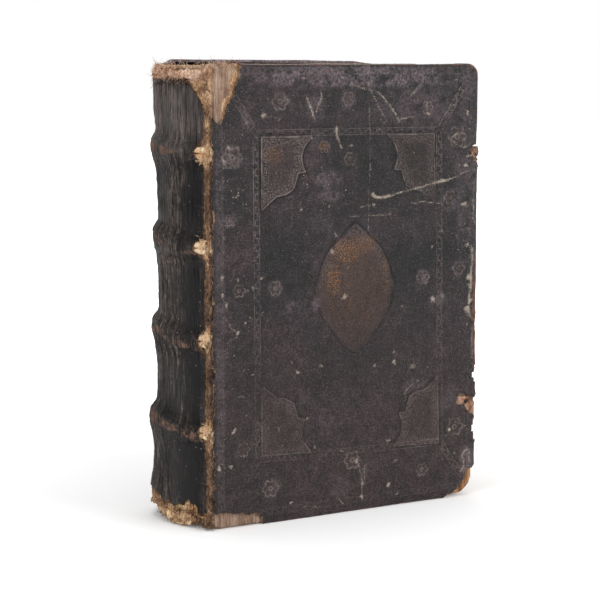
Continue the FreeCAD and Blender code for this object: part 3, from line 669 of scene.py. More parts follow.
def pressed(fields, p, q):
    """How deep the tools went in, in millimetres: grooves beside each roll, sunk ornaments with raised
    scrolls, and round flower stamps."""
    across = np.abs(fields["roll_across"])
    depth = 0.22 * (1 - ramp(np.abs(across - 2.6), 0.3, 1.1)) * (0.4 + fields["roll_kept"])
    for key in ("centre_edge", "corner_edge"):
        edge = fields[key]
        depth += 0.5 * (1 - ramp(np.abs(edge + 1.5), 0.4, 1.4))
        depth -= 0.18 * (1 - ramp(np.abs(edge - 0.2), 0.3, 1.2))
        depth += 0.22 * ramp(edge, 0, 1.5)
        scroll = np.sin(p * 0.95 + 1.6 * np.sin(q * 0.33)) * np.sin(q * 0.8 + 1.4 * np.sin(p * 0.4))
        depth -= 0.2 * ramp(edge, 1.2, 2.5) * ramp(scroll, -0.2, 0.6)
    rose = np.hypot(fields["rose_u"], fields["rose_v"])
    depth += 0.28 * (1 - ramp(rose, 0.75, 1.05)) - 0.2 * (1 - ramp(rose, 0.15, 0.35))
    return depth


# %% [markdown]
# ## A skin wrapped over a board
# Wet leather is pulled over the board's face and turned down over its rounded edges. In a grid, that is
# one rule: a point runs over the face, and where it passes the centre of a rounded corner its further
# reach is bent round the edge: flat, a quarter circle, straight down, and a small quarter circle under
# the board. At a corner the square rings of the grid become round ones, so the faces stay even.


# %% Wrapping
def edge_profile(reach, corner, rounding, arris, depth):
    """Distance out from a corner's centre, and depth behind the face, after reach millimetres."""
    flat = corner - rounding
    first = np.clip((reach - flat) / rounding, 0, np.pi / 2)
    down = np.clip(reach - flat - rounding * np.pi / 2, 0, depth - rounding - arris)
    past = reach - flat - rounding * np.pi / 2 - (depth - rounding - arris)
    second = np.clip(past / arris, 0, np.pi / 2)
    back = np.clip(past - arris * np.pi / 2, 0, None)
    out = np.minimum(reach, flat) + rounding * np.sin(first) - arris * (1 - np.cos(second)) - back
    return out, rounding * (1 - np.cos(first)) + down + arris * np.sin(second)


def reach_steps(corner, rounding, arris, depth, back):
    """Even steps along each part of that profile."""
    flat = corner - rounding
    parts = (flat, rounding * np.pi / 2, depth - rounding - arris, arris * np.pi / 2, back)
    steps = [0.0]
    for length, count in zip(parts, (5, 8, 5, 3, 1)):
        steps += list(steps[-1] + length * np.arange(1, count + 1) / count)
    return np.array(steps[1:])


def wrap(u, v, box, corner, rounding, arris, depth, face, side, wrap_left):
    """Points of a sheet laid over a box (left, right, bottom, top) and bent round its edges."""
    left, right, bottom, top = box
    over = np.maximum(u - (right - corner), 0)
    if wrap_left:
        over += np.minimum(u - (left + corner), 0)
    up = np.maximum(v - (top - corner), 0) + np.minimum(v - (bottom + corner), 0)
    reach = np.maximum(np.abs(over), np.abs(up))
    length = np.maximum(np.hypot(over, up), 1e-9)
    out, behind = edge_profile(reach, corner, rounding, arris, depth)
    x = u - over + out * over / length
    z = v - up + out * up / length
    return np.stack([x, side * (face - behind), z], axis=-1)


# %% [markdown]
# ## Cover leather
# The front skin is torn at the head and tail by the joint and at the broken corner, and worn off in
# spots along the fore edge where clasps were pulled away. Faces inside a tear are left out, the points
# at its rim slide onto the torn line, and a wall goes down from the rim, so the skin shows its
# thickness.

# %% Tears and scratches
# Outlines of the torn places, from the joint and from the tail
HEAD_TEAR = (
    (-6, 345), (22.5, 345), (22.5, 321), (21.4, 312.3), (19.5, 303.7), (17.2, 297.1), (13.5, 293.1),
    (12, 287.8), (9, 282.5), (6.8, 278.6), (4.6, 281.3), (2.4, 284), (-6, 289),
)
TAIL_TEAR = (
    (-6, -25), (-6, 13), (0.6, 12.4), (7.5, 12.2), (21.3, 10), (29, 9), (34.5, 9.6), (38.4, 6),
    (38.4, 1.8), (40, -25),
)
CORNER_TEAR = (
    (240, 22), (212.0, 22.8), (208.4, 20.2), (206.6, 16), (204.6, 12), (201, 6.6), (196.5, 4.4),
    (190.5, 2.2), (188, -1), (188, -25), (240, -25),
)
LOWER_CLASP_TEAR = (
    (200, 72), (200.7, 77.3), (204.3, 77.7), (208, 76), (211.4, 75), (216, 78.5), (240, 78), (240, 62),
    (215.7, 62.6), (211.7, 61.8), (208.1, 64.5), (205.3, 70), (201.8, 69.6),
)
UPPER_CLASP_TEAR = ((207, 257), (211, 262), (240, 263), (240, 247), (213, 247), (208, 251))
EDGE_TEARS = (
    ((212.2, 99), (240, 98), (240, 87), (211.6, 86), (211.4, 92)),
    ((211.8, 62), (240, 63), (240, 43), (212.0, 42), (211.0, 49), (210.9, 57)),
    ((213.4, 138), (240, 139), (240, 121), (213.6, 120)),
)
# Width and strength of each scratch, and the places that it runs through
SCRATCHES = (
    (1.3, 1.0, ((126.1, 228.6), (129, 226.6), (133.6, 226), (140, 227))),
    (0.75, 0.8, ((140, 227), (147.9, 228.6), (162.1, 231.7), (176.4, 234.6))),
    (1.2, 0.85, ((176.4, 234.6), (183, 236), (193, 238))),
    (0.6, 0.62, ((193, 238), (205, 242.1), (214.3, 245))),
    (0.6, 0.55, ((116.4, 220), (127.1, 221.1))),
    (0.6, 0.66, ((158.6, 221.1), (166, 221.8), (175, 221.1), (185, 220))),
    (0.5, 0.55, ((105, 214.3), (115, 213.6))),
    (0.6, 0.62, ((123.6, 214), (138.6, 213.5))),
    (0.5, 0.45, ((122.9, 319), (123.2, 290), (123.9, 247), (123, 226), (122.8, 203))),
    (0.6, 0.6, ((107.9, 305.7), (123.6, 301.4), (130.7, 300))),
    (0.9, 0.66, ((130.7, 300), (138.6, 292.1), (143.6, 285.7), (147.1, 279.3))),
    (0.6, 0.6, ((124, 301.4), (129.5, 292), (135.7, 282.1), (137.5, 279.5))),
    (0.6, 0.5, ((138, 280.5), (134, 278.5), (131, 273.5))),
    (0.6, 0.5, ((122.5, 319), (120.9, 309), (123.4, 301))),
    (0.5, 0.55, ((149, 281.4), (160, 282.6))),
    (0.5, 0.5, ((157.9, 298.6), (165.7, 305.7))),
    (0.5, 0.42, ((159.5, 298.2), (166.5, 304.4))),
    (0.9, 0.85, ((73.6, 297.1), (75.5, 291), (77.9, 285.7), (79.6, 281.4))),
    (0.9, 0.66, ((84.3, 300.6), (84.6, 296), (82, 291.4), (80.5, 287))),
    (1.3, 0.95, ((96.4, 275.4), (97.4, 271), (98.3, 267.6))),
    (0.7, 0.8, ((98.3, 267.6), (100.7, 261.7))),
    (0.5, 0.5, ((43, 284), (52.9, 283.1))),
    (0.5, 0.5, ((62.2, 217), (61.6, 209), (60, 205.5))),
    (0.5, 0.4, ((34, 232.4), (48, 233))),
    (0.5, 0.4, ((10, 242), (17, 241.7))),
    (0.5, 0.42, ((70, 183.4), (82, 183.2))),
    (0.7, 0.6, ((190.7, 266.4), (197, 271.5))),
    (0.6, 0.55, ((190.7, 266.4), (196, 262.5), (203.6, 260), (207, 262))),
    (0.6, 0.55, ((197, 271.5), (202, 270.5), (203.6, 260))),
    (0.5, 0.5, ((166.4, 229.3), (170.5, 226.5), (171.8, 223.5))),
    (0.6, 0.7, ((10.7, 147.1), (15, 141), (21.4, 137.4))),
    (0.5, 0.55, ((12.5, 131.6), (20, 135))),
    (0.5, 0.5, ((24, 111.5), (24, 104))),
    (0.5, 0.7, ((99.3, 12.1), (102, 9), (105, 6))),
    (0.6, 0.4, ((71.4, 8.6), (80, 7.6), (88.6, 6.4))),
    (0.8, 0.6, ((115.5, 34), (118.6, 27), (119.5, 20), (119.3, 10))),
    (0.5, 0.45, ((121, 34), (121.4, 26), (120.5, 18))),
    (0.5, 0.42, ((33.6, 35), (37, 41))),
    (0.8, 0.72, ((207.4, 36), (204.6, 31), (205.4, 24), (203, 18.5))),
    (0.6, 0.6, ((207.4, 36), (209.6, 31.5), (209, 25), (205, 18.5))),
    (0.5, 0.5, ((209.4, 184.6), (209.8, 176))),
    (0.5, 0.4, ((163, 47.6), (184, 45.6))),
    (0.5, 0.4, ((42, 47.8), (56, 47.6))),
    (0.6, 0.45, ((155.5, 77.5), (155, 83), (159, 88.5), (166, 91.5))),
    (1.1, 0.8, ((209.5, 187), (210.5, 178), (208.5, 168), (209, 158), (207.5, 147), (208.5, 136))),
    (0.9, 0.6, ((211, 236), (210, 222), (211, 205))),
    (0.9, 0.6, ((210.5, 128), (211, 112), (210, 104))),
)
# Place, half length, half width, turn in degrees and strength of each chip
FLECKS = (
    (48.6, 311.7, 1.8, 1.4, 0, 0.6), (70.7, 309.3, 3.4, 2.2, 10, 0.85), (100.9, 311.1, 2.4, 1.6, 0, 0.6),
    (107.9, 305.6, 2, 1.6, 0, 0.75), (50.3, 305.5, 4.5, 1, 80, 0.6), (40.7, 285.3, 4.8, 2.8, -35, 1.1),
    (52.9, 283.1, 2.2, 1.2, 0, 0.7), (27, 279.7, 2, 1.4, 0, 0.6), (13.6, 263.6, 3.5, 2, -50, 0.75),
    (10, 254.6, 4, 2, -60, 0.95), (14, 259, 3, 2, 30, 0.75), (77.3, 270.2, 2.2, 1.8, 0, 1.0),
    (71.9, 246, 1.8, 2.4, 0, 1.1), (55.3, 254.8, 3, 1, -10, 0.8), (49.6, 245.6, 1.8, 1.4, 0, 0.6),
    (18, 230.4, 4.2, 1.6, -25, 1.0), (21.6, 232.2, 1.6, 1.4, 0, 0.9), (68.8, 220.2, 4.2, 1.7, 20, 0.85),
    (90.9, 221, 2.2, 2.2, 0, 0.95), (73.6, 203.6, 3.5, 1.6, -30, 0.6), (96.9, 201.1, 3.5, 1.6, -30, 0.7),
    (10.1, 203.6, 2, 2, 0, 0.95), (93, 189.3, 2.8, 2.8, 0, 1.15), (37.9, 174.3, 3.2, 2.2, 0, 1.0),
    (31.3, 167.7, 2.2, 2.2, 0, 0.9), (28, 165.9, 2.2, 1.8, 0, 0.9), (20.3, 174, 2, 3.6, 0, 0.6),
    (8.9, 175, 2.2, 6, 0, 0.85), (9.3, 164, 2, 4, 0, 0.85), (12, 156, 2.6, 7, 15, 0.9),
    (108.2, 263, 2.2, 2.2, 0, 0.95), (123.9, 247, 1.8, 2.4, 0, 0.9), (148.6, 281.1, 3.6, 1.9, 15, 1.0),
    (171.9, 285.3, 4.2, 2.4, -40, 1.1), (195, 308.9, 3, 1.5, 0, 0.7), (205, 285, 2.2, 6.2, 5, 1.0),
    (205.7, 273.6, 1.8, 1.8, 0, 0.9), (205, 253.6, 3.6, 3.2, 0, 1.0), (203.6, 247.1, 4.8, 2.2, -50, 1.0),
    (126.5, 228.4, 3, 3.4, 0, 1.0), (127.1, 221, 4.5, 1.9, 5, 0.95), (174.8, 221.2, 2.4, 1.7, 0, 0.8),
    (203.6, 218.3, 7.4, 2.8, 5, 1.1), (207.1, 200.7, 3, 2.2, 0, 0.8), (176.4, 188.9, 2, 2, 0, 0.95),
    (206.4, 188.6, 4.6, 2.2, -10, 1.0), (209.5, 184.5, 1.8, 4.5, 0, 0.8), (184.3, 200, 4.5, 3, 0, 0.55),
    (207.9, 164.3, 4.6, 6, 15, 1.1), (207.9, 158, 3, 4, 0, 1.0), (209, 147.5, 3.4, 5, 0, 1.1),
    (206.4, 141.4, 4.4, 5, 20, 1.1), (177.9, 150.7, 4, 5, 20, 0.8), (185.7, 152.9, 3.5, 5, 0, 0.6),
    (150.7, 146.7, 1.6, 2, 0, 1.0), (206.7, 130, 2, 2, 0, 0.9), (129.3, 105, 3, 2, 0, 0.95),
    (145.7, 106.4, 3, 4, 10, 0.95), (144.3, 113.1, 2, 1.8, 0, 0.7), (151.4, 110.3, 2, 2, 0, 0.7),
    (161, 102, 6.5, 4, 0, 0.5), (186.4, 111.4, 1.6, 1.6, 0, 0.8), (193.6, 51.9, 2.8, 2.8, 0, 1.15),
    (197.9, 33.6, 2.6, 2.6, 0, 0.7), (114.7, 36.4, 4.2, 5, -10, 1.05), (119.3, 10, 2.2, 3.4, 0, 1.0),
    (141.4, 16.7, 3.6, 4.4, -20, 1.05), (149.3, 8.9, 2.8, 2.2, 0, 0.9), (147.1, 33.6, 2.4, 2.2, 0, 0.6),
    (20, 137.6, 4, 2.2, -45, 1.0), (26.4, 143.6, 1.8, 3, 0, 0.7), (30, 147.1, 1.4, 1.6, 0, 0.7),
    (38.6, 149.3, 1.5, 1.5, 0, 0.6), (104, 157.2, 6.2, 2.2, 25, 0.85), (66.4, 106.7, 2.2, 2.4, 0, 0.95),
    (60.7, 113.6, 2.2, 2.2, 0, 0.65), (85.7, 108.6, 2.8, 2.8, 0, 0.6), (73.6, 72.1, 2, 2.2, 0, 1.15),
    (72.9, 55.3, 2, 2, 0, 0.8), (80.5, 51.4, 3.2, 2.6, -40, 0.8), (51.4, 66.6, 1.8, 1.8, 0, 0.7),
    (17.1, 69, 5, 2.6, 35, 1.0), (26.1, 79.3, 1.8, 2.3, 0, 0.8), (22.6, 92.1, 5, 1.5, 8, 0.65),
    (16.3, 121.3, 1.4, 1.8, 0, 0.7), (31.3, 107, 1.8, 1.8, 0, 0.7), (25.4, 50.6, 2.4, 3.4, -20, 0.8),
    (14.3, 44.3, 2.6, 2.6, 0, 0.8), (5.7, 43.6, 3, 4.6, 0, 0.9), (61.4, 13.1, 2.6, 2.6, 0, 0.95),
    (102.9, 45.7, 3, 3, 0, 0.5), (141.4, 49.6, 2, 2.6, 0, 0.8), (170, 292, 2.2, 8, -15, 0.5),
    (107, 178, 2, 2, 0, 0.4), (184, 238, 3, 2.4, 0, 0.8), (140.5, 214, 2, 1.6, 0, 0.6),
)
# Ovals where the skin is rubbed, and where it is speckled with small flecks
SMUDGES = (
    (90, 240, 11, 7, 0.55), (92, 229, 9, 4, 0.5), (61, 151, 8, 6, 0.45), (90, 70, 8, 6, 0.25),
    (81, 153, 3, 6, 0.6), (46, 25, 8, 9, 0.3), (101, 20, 10, 9, 0.25), (15, 257, 9, 8, 0.6),
    (53, 294, 8, 7, 0.45), (107, 295, 7, 8, 0.45), (192, 222, 8, 8, 0.5), (199, 262, 8, 8, 0.4),
    (60, 86, 12, 8, 0.2), (202, 300, 10, 12, 0.4), (78, 262, 5, 12, 0.2), (80, 290, 7, 9, 0.4),
    (15, 215, 5, 5, 0.4), (163, 88, 10, 6, 0.35), (190, 75, 12, 10, 0.25), (207, 27, 5, 11, 0.7),
    (49, 166, 6, 6, 0.4), (169, 167, 6, 6, 0.45), (199, 172, 6, 6, 0.45), (27, 286, 4, 12, 0.4),
    (7, 160, 4, 170, 0.3), (181, 150, 7, 6, 0.4), (170, 24, 5, 5, 0.4), (120, 30, 4, 14, 0.35),
    (85, 210, 12, 8, 0.2), (110, 186, 26, 26, 0.1), (120, 311, 95, 8, 0.8), (165, 290, 40, 16, 0.35),
    (205, 240, 10, 70, 0.35),
)
FLECK_PLACES = (
    (16, 240, 20, 100, 1.0), (20, 130, 18, 60, 0.7), (60, 300, 70, 18, 0.8), (150, 295, 60, 22, 0.6),
    (88, 235, 26, 24, 1.0), (200, 230, 18, 90, 1.0), (196, 120, 22, 60, 0.8), (195, 45, 18, 40, 0.8),
    (150, 210, 40, 18, 0.6), (30, 40, 34, 40, 0.5), (165, 80, 26, 34, 0.7), (55, 250, 26, 30, 0.7),
    (160, 250, 26, 30, 0.6), (110, 60, 60, 50, 0.25), (8, 160, 8, 170, 1.2),
)


def torn_distance(p, q, tears, joint_wear):
    """Distance from the nearest torn edge: positive where the skin is left. Noise frays the line."""
    edge = p - joint_wear - 0.9 * rough(q, 0 * q, 5.0, 21)
    for corners in tears:
        edge = np.minimum(edge, -outline_distance(p, q, list(corners)))
    return edge + 0.7 * rough(p, q, 3.4, 31)


def scratch_field(p, q, scratches):
    """Scratches as soft hills: strength times a bell curve over the distance to each broken line. Noise
    bends the lines a little and makes them fade and come back."""
    p = p + 0.5 * rough(p, q, 6.0, 33)
    q = q + 0.5 * rough(p, q, 6.0, 35)
    uneven = 1 + 0.4 * rough(p, q, 3.0, 37)
    field = np.zeros(p.shape)
    for width, strength, places in scratches:
        for start, end in zip(places, places[1:]):
            gap = segment_distance(p, q, start, end)[0]
            field = np.maximum(field, strength * np.exp(-((gap / width) ** 2) * 1.5))
    return field * uneven


def fleck_field(p, q):
    """Chips in the skin: ovals at their places, warped by noise so that no two look alike."""
    warped_p = p + 1.1 * rough(p, q, 2.6, 131)
    warped_q = q + 1.1 * rough(p, q, 2.6, 133)
    field = np.zeros(p.shape)
    for middle_p, middle_q, length, width, degrees, strength in FLECKS:
        turn = np.radians(degrees)
        along = (warped_p - middle_p) * np.cos(turn) + (warped_q - middle_q) * np.sin(turn)
        across = (warped_q - middle_q) * np.cos(turn) - (warped_p - middle_p) * np.sin(turn)
        away = np.hypot(along / length, across / width)
        field = np.maximum(field, strength * (1 - ramp(away, 0.15, 0.68)))
    return field


# %% Cover skins
SKIN = {"corner": 8.5, "rounding": 2.2, "arris": 1.0, "depth": FACE - INNER_FACE}
SPACING = 0.93
SKIN_THICKNESS = 1.3


def fore_swell(p, z):
    """How far the fore edge of the front cover has swollen outwards, most below the middle."""
    return ramp(p, 198, 214) * (0.4 + 1.4 * ramp(z, 262, 250) + 1.3 * ramp(z, 150, 80))


def cover_leather(name, node, side, body, tears, joint_wear, scratches, seed, head_lift=0.0):
    """One cover's skin: wrapped, pressed by the tools, warped a little with age, and torn. head_lift is
    how far the head edge has warped up beside the spine."""
    steps = reach_steps(back=0.8, **SKIN)
    corner = SKIN["corner"]
    start = JOINT + JOINT_GAP
    u = np.linspace(start, FORE - corner, round((FORE - corner - start) / SPACING))
    u = np.concatenate([u, u[-1] + steps])
    v = np.linspace(corner, TOP - corner, round((TOP - 2 * corner) / SPACING))
    v = np.concatenate([v[0] - steps[::-1], v, v[-1] + steps])
    u, v = np.meshgrid(u, v)
    p = u - JOINT

    def left(p, q):
        return torn_distance(p, q, tears, joint_wear)

    edge = left(p, v)
    slope_p = (left(p + 0.2, v) - left(p - 0.2, v)) / 0.4
    slope_q = (left(p, v + 0.2) - left(p, v - 0.2)) / 0.4
    steep = np.maximum(slope_p**2 + slope_q**2, 0.25)
    near = np.abs(edge) < 0.62 * SPACING
    shift = np.where(near, edge / steep, 0)
    u = u - shift * slope_p
    v = v - shift * slope_q
    p = u - JOINT
    edge = np.where(near, 0.0, edge)

    box = (start - 40, FORE, 0.0, TOP)
    points = wrap(u, v, box, face=FACE, side=side, wrap_left=False, **SKIN)
    flip = side > 0
    normals = grid_normals(points, flip)
    fields = tooling(p, v)
    on_face = 1 - ramp(np.maximum(np.maximum(p - 208, -(v - 4)), v - 316), 0, 3)
    proud = 0.3 * rough(p, v, 55.0, seed) + 0.07 * rough(p, v, 7.0, seed + 7)
    proud += 0.1 * rough(p, v, 2.6, seed + 9, 2) * (1 - 0.6 * on_face)
    proud -= pressed(fields, p, v) * on_face
    curl = fading(edge, 1.6) * ramp(rough(p, v, 6.0, seed + 3), -0.6, 0.8)
    proud += 0.7 * curl * (edge < 8)
    points = points + normals * proud[..., None]
    if tears:
        points[..., 0] += fore_swell(p, v)

    over = np.maximum(np.maximum(p - 209.5, 4.5 - v), v - 315.5)
    fields["worn"] = 0.42 * ramp(over, 1.5, 4.0) * (1 - 0.45 * ramp(over, 6.5, 9.0))
    fields["worn"] += 0.5 * ramp(over, -2, 1.5) * bell(v - 140, 70)
    fields["worn"] += 0.25 * bell(np.hypot(p - 213, v - 318), 14)
    lifted = ramp(v, 255, 318) * ramp(p, 0, 8) * ramp(p, 172, 148)
    points[..., 2] += head_lift * lifted * (1 - 0.3 * p / 140)
    fields["flesh"] = 0.62 * fading(edge, 1.1) * ramp(rough(p, v, 4.0, seed + 4), -0.9, 0.5)
    fields["flesh"] *= bool(tears)
    fields["scuff_and_highlight"] = scratch_field(p, v, scratches)
    # painted light: the back skin's head edge lies in shade and is painted a lighter dusty grey
    fields["smudge_and_lit_rim"] = 1.3 * ramp(v, 316.5, 319.5)
    fields["fleck"] = 0.35 + 0.5 * ramp(rough(p, v, 30.0, seed + 5), -0.3, 0.8)
    if tears:
        fields["scuff_and_highlight"] = np.maximum(fields["scuff_and_highlight"], fleck_field(p, v))
        # painted highlight: a pale line along the front skin's rounded head edge, put in with the scratches
        head_edge = ramp(v, 319.4, 320.4) * ramp(v, 322.0, 321.0) * ramp(p, 20, 26)
        head_edge = head_edge * (1 - 0.6 * ramp(p, 100, 190))
        fields["scuff_and_highlight"] = np.maximum(fields["scuff_and_highlight"], 1.1 * head_edge)
        fields["smudge_and_lit_rim"] = soft_patches(p, v, SMUDGES) * ramp(rough(p, v, 5.0, seed + 6), -0.9, 0.4)
        fields["fleck"] = 0.12 + soft_patches(p, v, FLECK_PLACES)

    rim = np.abs(edge) < 0.01
    piece = torn_sheet(
        name, points, normals, grid_faces(*p.shape, flip), edge > -0.01, rim, SKIN_THICKNESS, body,
        COVER_LEATHER, fields, {"flesh": 0.75 if tears else 0.0},
    )
    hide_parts(node)


ALL_TEARS = (HEAD_TEAR, TAIL_TEAR, CORNER_TEAR, LOWER_CLASP_TEAR, UPPER_CLASP_TEAR) + EDGE_TEARS
cover_leather("front_cover_skin", "front_leather", -1, "front_cover", ALL_TEARS, 1.6, SCRATCHES, 40)
BACK_SCRATCHES = (
    (0.8, 0.6, ((60, 250), (95, 238), (121, 241))),
    (1.0, 0.6, ((150, 80), (163, 60), (170, 56))),
    (0.7, 0.6, ((30, 120), (42, 96))),
    (1.6, 0.6, ((190, 210), (195, 203))),
)
cover_leather("back_cover_skin", "back_leather", 1, "back_cover", (), -3.0, BACK_SCRATCHES, 80, 2.9)

# %% [markdown]
# ## The bare board
# Where the skin is gone the oak shows, with its pores upright, and at the tail fore-edge corner the
# board itself is broken. The break is made by sliding every point beyond a splintered line back onto it.


# %% Front board
BREAK_LINES = (((213.6, 12), (1.0, -0.35)), ((209.5, 6), (1.0, -1.1)), ((203, 1.9), (0.3, -1.0)))


def bare_board():
    """The board as a wrapped sheet, fine near the bare places, with upright grain and a broken corner."""
    corner = 7.0
    shape = {"corner": corner, "rounding": 2.5, "arris": 1.0, "depth": BOARD_FACE - BOARD_BACK}
    steps = reach_steps(back=5.0, **shape)
    left = JOINT + JOINT_GAP
    right = BOARD_FORE - corner
    top = BOARD_TOP - corner
    by_joint = np.arange(left + corner, left + 44, 0.8)
    by_fore = np.arange(BOARD_FORE - 23.4, right, 0.8)
    u = np.concatenate([by_joint, np.linspace(left + 44.5, BOARD_FORE - 24, 30), by_fore, [right]])
    u = np.concatenate([u[0] - steps[::-1], u, u[-1] + steps])
    v = np.concatenate([np.arange(BOARD_LOW + corner, 40, 1.0), np.linspace(41, 268, 120)])
    v = np.concatenate([v, np.arange(269, top, 1.0), [top]])
    v = np.concatenate([v[0] - steps[::-1], v, v[-1] + steps])
    u, v = np.meshgrid(u, v)
    box = (left, BOARD_FORE, BOARD_LOW, BOARD_TOP)
    points = wrap(u, v, box, face=BOARD_FACE, side=-1, wrap_left=True, **shape)
    normals = grid_normals(points)
    x, y, z = points[..., 0], points[..., 1], points[..., 2]
    grain = 0.22 * rough(x + 0.6 * y, z * 0.06, 1.6, 51, 3) + 0.12 * rough(x, z, 9.0, 55)
    points = points + normals * (grain - 0.25)[..., None]
    points[..., 0] += fore_swell(x - JOINT, z)
    points[..., 2] += (1.5 + 0.5 * rough(x, y, 2.0, 57)) * ramp(z, 310, 318) * ramp(x - JOINT, 28, 20)
    points[..., 2] -= 1.4 * ramp(z, 12, 3) * ramp(x - JOINT, 44, 36)
    splinter = 0.9 * rough(points[..., 1] * 1.7, points[..., 0] - points[..., 2], 4.0, 61, 4)
    for place, way in BREAK_LINES:
        way = np.array(way) / np.hypot(*way)
        beyond = (points[..., 0] - JOINT - place[0]) * way[0] + (points[..., 2] - place[1]) * way[1]
        beyond = np.maximum(beyond + splinter, 0)
        points[..., 0] -= beyond * way[0]
        points[..., 2] -= beyond * way[1]
    faces = grid_faces(*u.shape)
    middle = points.reshape(-1, 3)[faces].mean(axis=1)
    broken = (middle[:, 0] > JOINT + 186) & (middle[:, 2] < 30)
    p, q = middle[:, 0] - JOINT, middle[:, 2]
    from_skin = outline_distance(p, q, list(HEAD_TEAR)) - 1.8 * rough(p, q, 4.0, 59)
    fleshy = (from_skin < 3.6) & (p > 9.5) & (p < 30) & (q > 281)
    pale = {"pale": np.full(points.size // 3, 0.75)}
    piece = new_piece("front_board_wood", points.reshape(-1, 3), faces, "front_cover", OAK, pale)
    piece.data.materials.append(OAK_BREAK)
    piece.data.materials.append(TORN_SKIN)
    piece.data.polygons.foreach_set("material_index", np.where(fleshy, 2, broken).astype(np.int32))
    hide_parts("front_board")


bare_board()

# %% [markdown]
# ## Spine
# The back of the book is a circular arc in plan, with a shoulder at each side where the skin climbs the
# edge of the board. A path through those places gives the plan, and height gives the second parameter.
# The raised bands are bell curves over the cords, and the creases are noise stretched along the height,
# raised to ridges.

# %% The plan of the spine
FLARE_HEIGHTS = (0, 4, 10, 19, 26, 36, 52, 95, 180, 270, 290, 312, 320)
FLARE = (0.5, 4.0, 6.5, 8.2, 6.8, 5.0, 4.0, 1.6, 0.3, 0.4, 2.5, 2.6, 0.5)
BAND_RISES = (9.0, 9.0, 8.5, 6.0)
BAND_LOSSES = (4.5, 4.5, 9.5, 9.0)
TAIL_RUNS = (-36, -33, -30, -24, -20, -10, 0, 10, 20, 30)
TAIL_EDGE = (11, 10, 16, 18.5, 15, 13.5, 16, 20, 23.5, 12)
SKIN_RADIUS = SPINE_RADIUS + 2.2
ARC_END = np.radians(49.4)
MIDDLE = 160.0
# How far the brown of each band lies below it, its width and its strength
BROWN_UNDER_BANDS = ((3.0, 4.4, 0.75), (4.0, 3.6, 0.8), (3.0, 3.4, 0.45), (2.6, 3.0, 1.25))


def spine_path(offset, spacing):
    """Points in plan from the front joint round to the back joint, offset outwards, with the run of each
    in millimetres from the middle of the spine. Straight shoulders, an arc, and the corners rounded."""
    radius = SKIN_RADIUS
    angles = np.linspace(-ARC_END, ARC_END, 200)
    arc = np.stack([SPINE_CENTRE - radius * np.cos(angles), radius * np.sin(angles)], axis=1)
    shoulder = np.array([[JOINT + 3.0, -FACE], [JOINT - 0.8, -FACE], [JOINT - 2.0, -FACE + 1.6], arc[0]])
    corners = np.concatenate([shoulder[:-1], arc, shoulder[-2::-1] * [1, -1]])
    run = np.concatenate([[0], np.cumsum(np.linalg.norm(np.diff(corners, axis=0), axis=1))])
    even = np.linspace(0, run[-1], int(run[-1] / spacing))
    path = np.stack([np.interp(even, run, corners[:, k]) for k in (0, 1)], axis=1)
    width = max(int(1.6 / spacing), 1)
    before = path[:1] * 2 - path[width:0:-1]
    after = path[-1:] * 2 - path[-2 : -width - 2 : -1]
    padded = np.concatenate([before, path, after])
    kernel = np.hanning(2 * width + 3)[1:-1]
    kernel /= kernel.sum()
    path = np.stack([np.convolve(padded[:, k], kernel, "valid") for k in (0, 1)], axis=1)
    way = np.gradient(path, axis=0)
    way /= np.linalg.norm(way, axis=1, keepdims=True)
    outward = np.stack([-way[:, 1], way[:, 0]], axis=1)
    return path + outward * offset, outward, even - run[-1] / 2


def plan_points(plan, outward, proud, z):
    """Points that stand proud of the plan path at heights z, and the ways out of it."""
    points = np.empty(proud.shape + (3,))
    points[..., :2] = plan[None] + outward[None] * proud[..., None]
    points[..., 2] = z
    normals = np.zeros(points.shape)
    normals[..., :2] = outward[None]
    return points, normals


def over_cords(height, width, power=2):
    """1 over the middle of each sewing cord."""
    return sum(bell(height - middle, width, power) for middle in BAND_HEIGHTS)


def band_gaps(run, z):
    """Height above the middle of each raised band, which climbs towards the far side of the round."""
    return [z - middle - rise * ramp(run, -34, 10) for middle, rise in zip(BAND_HEIGHTS, BAND_RISES)]


def band_shape(run, z):
    """Height of the raised bands: flat bell curves over the cords, longer below where a band climbs."""
    longer = 1.25 * ramp(run, -34, 10)
    return sum(
        bell(gap, np.where(gap > 0, 5.8, 6.8 + longer * rise), 2.4)
        for gap, rise in zip(band_gaps(run, z), BAND_RISES)
    )


# %% [markdown]
# ### The skin of the spine
# The front edge is ragged and stops short of the shoulder, more so at the head. At head and tail the
# skin has rotted off in a ragged line. The last run of it climbs the back board's shoulder unbroken.


# %% Spine skin
def spine_flare(run, height, reach):
    """How far the old skin stands off the leaves: most at the tail, and only on the far side."""
    return np.interp(height, FLARE_HEIGHTS, FLARE) * ramp(run, -12, 20) * ramp(run, reach - 3, reach - 14)


def front_loss(height):
    """How far the skin has rotted back from the joint: more over the cords, and most at the head."""
    frayed = [loss * bell(height - middle - 1, 6.5) for middle, loss in zip(BAND_HEIGHTS, BAND_LOSSES)]
    return 8.8 + sum(frayed) + 13.0 * ramp(height, 286, 311)


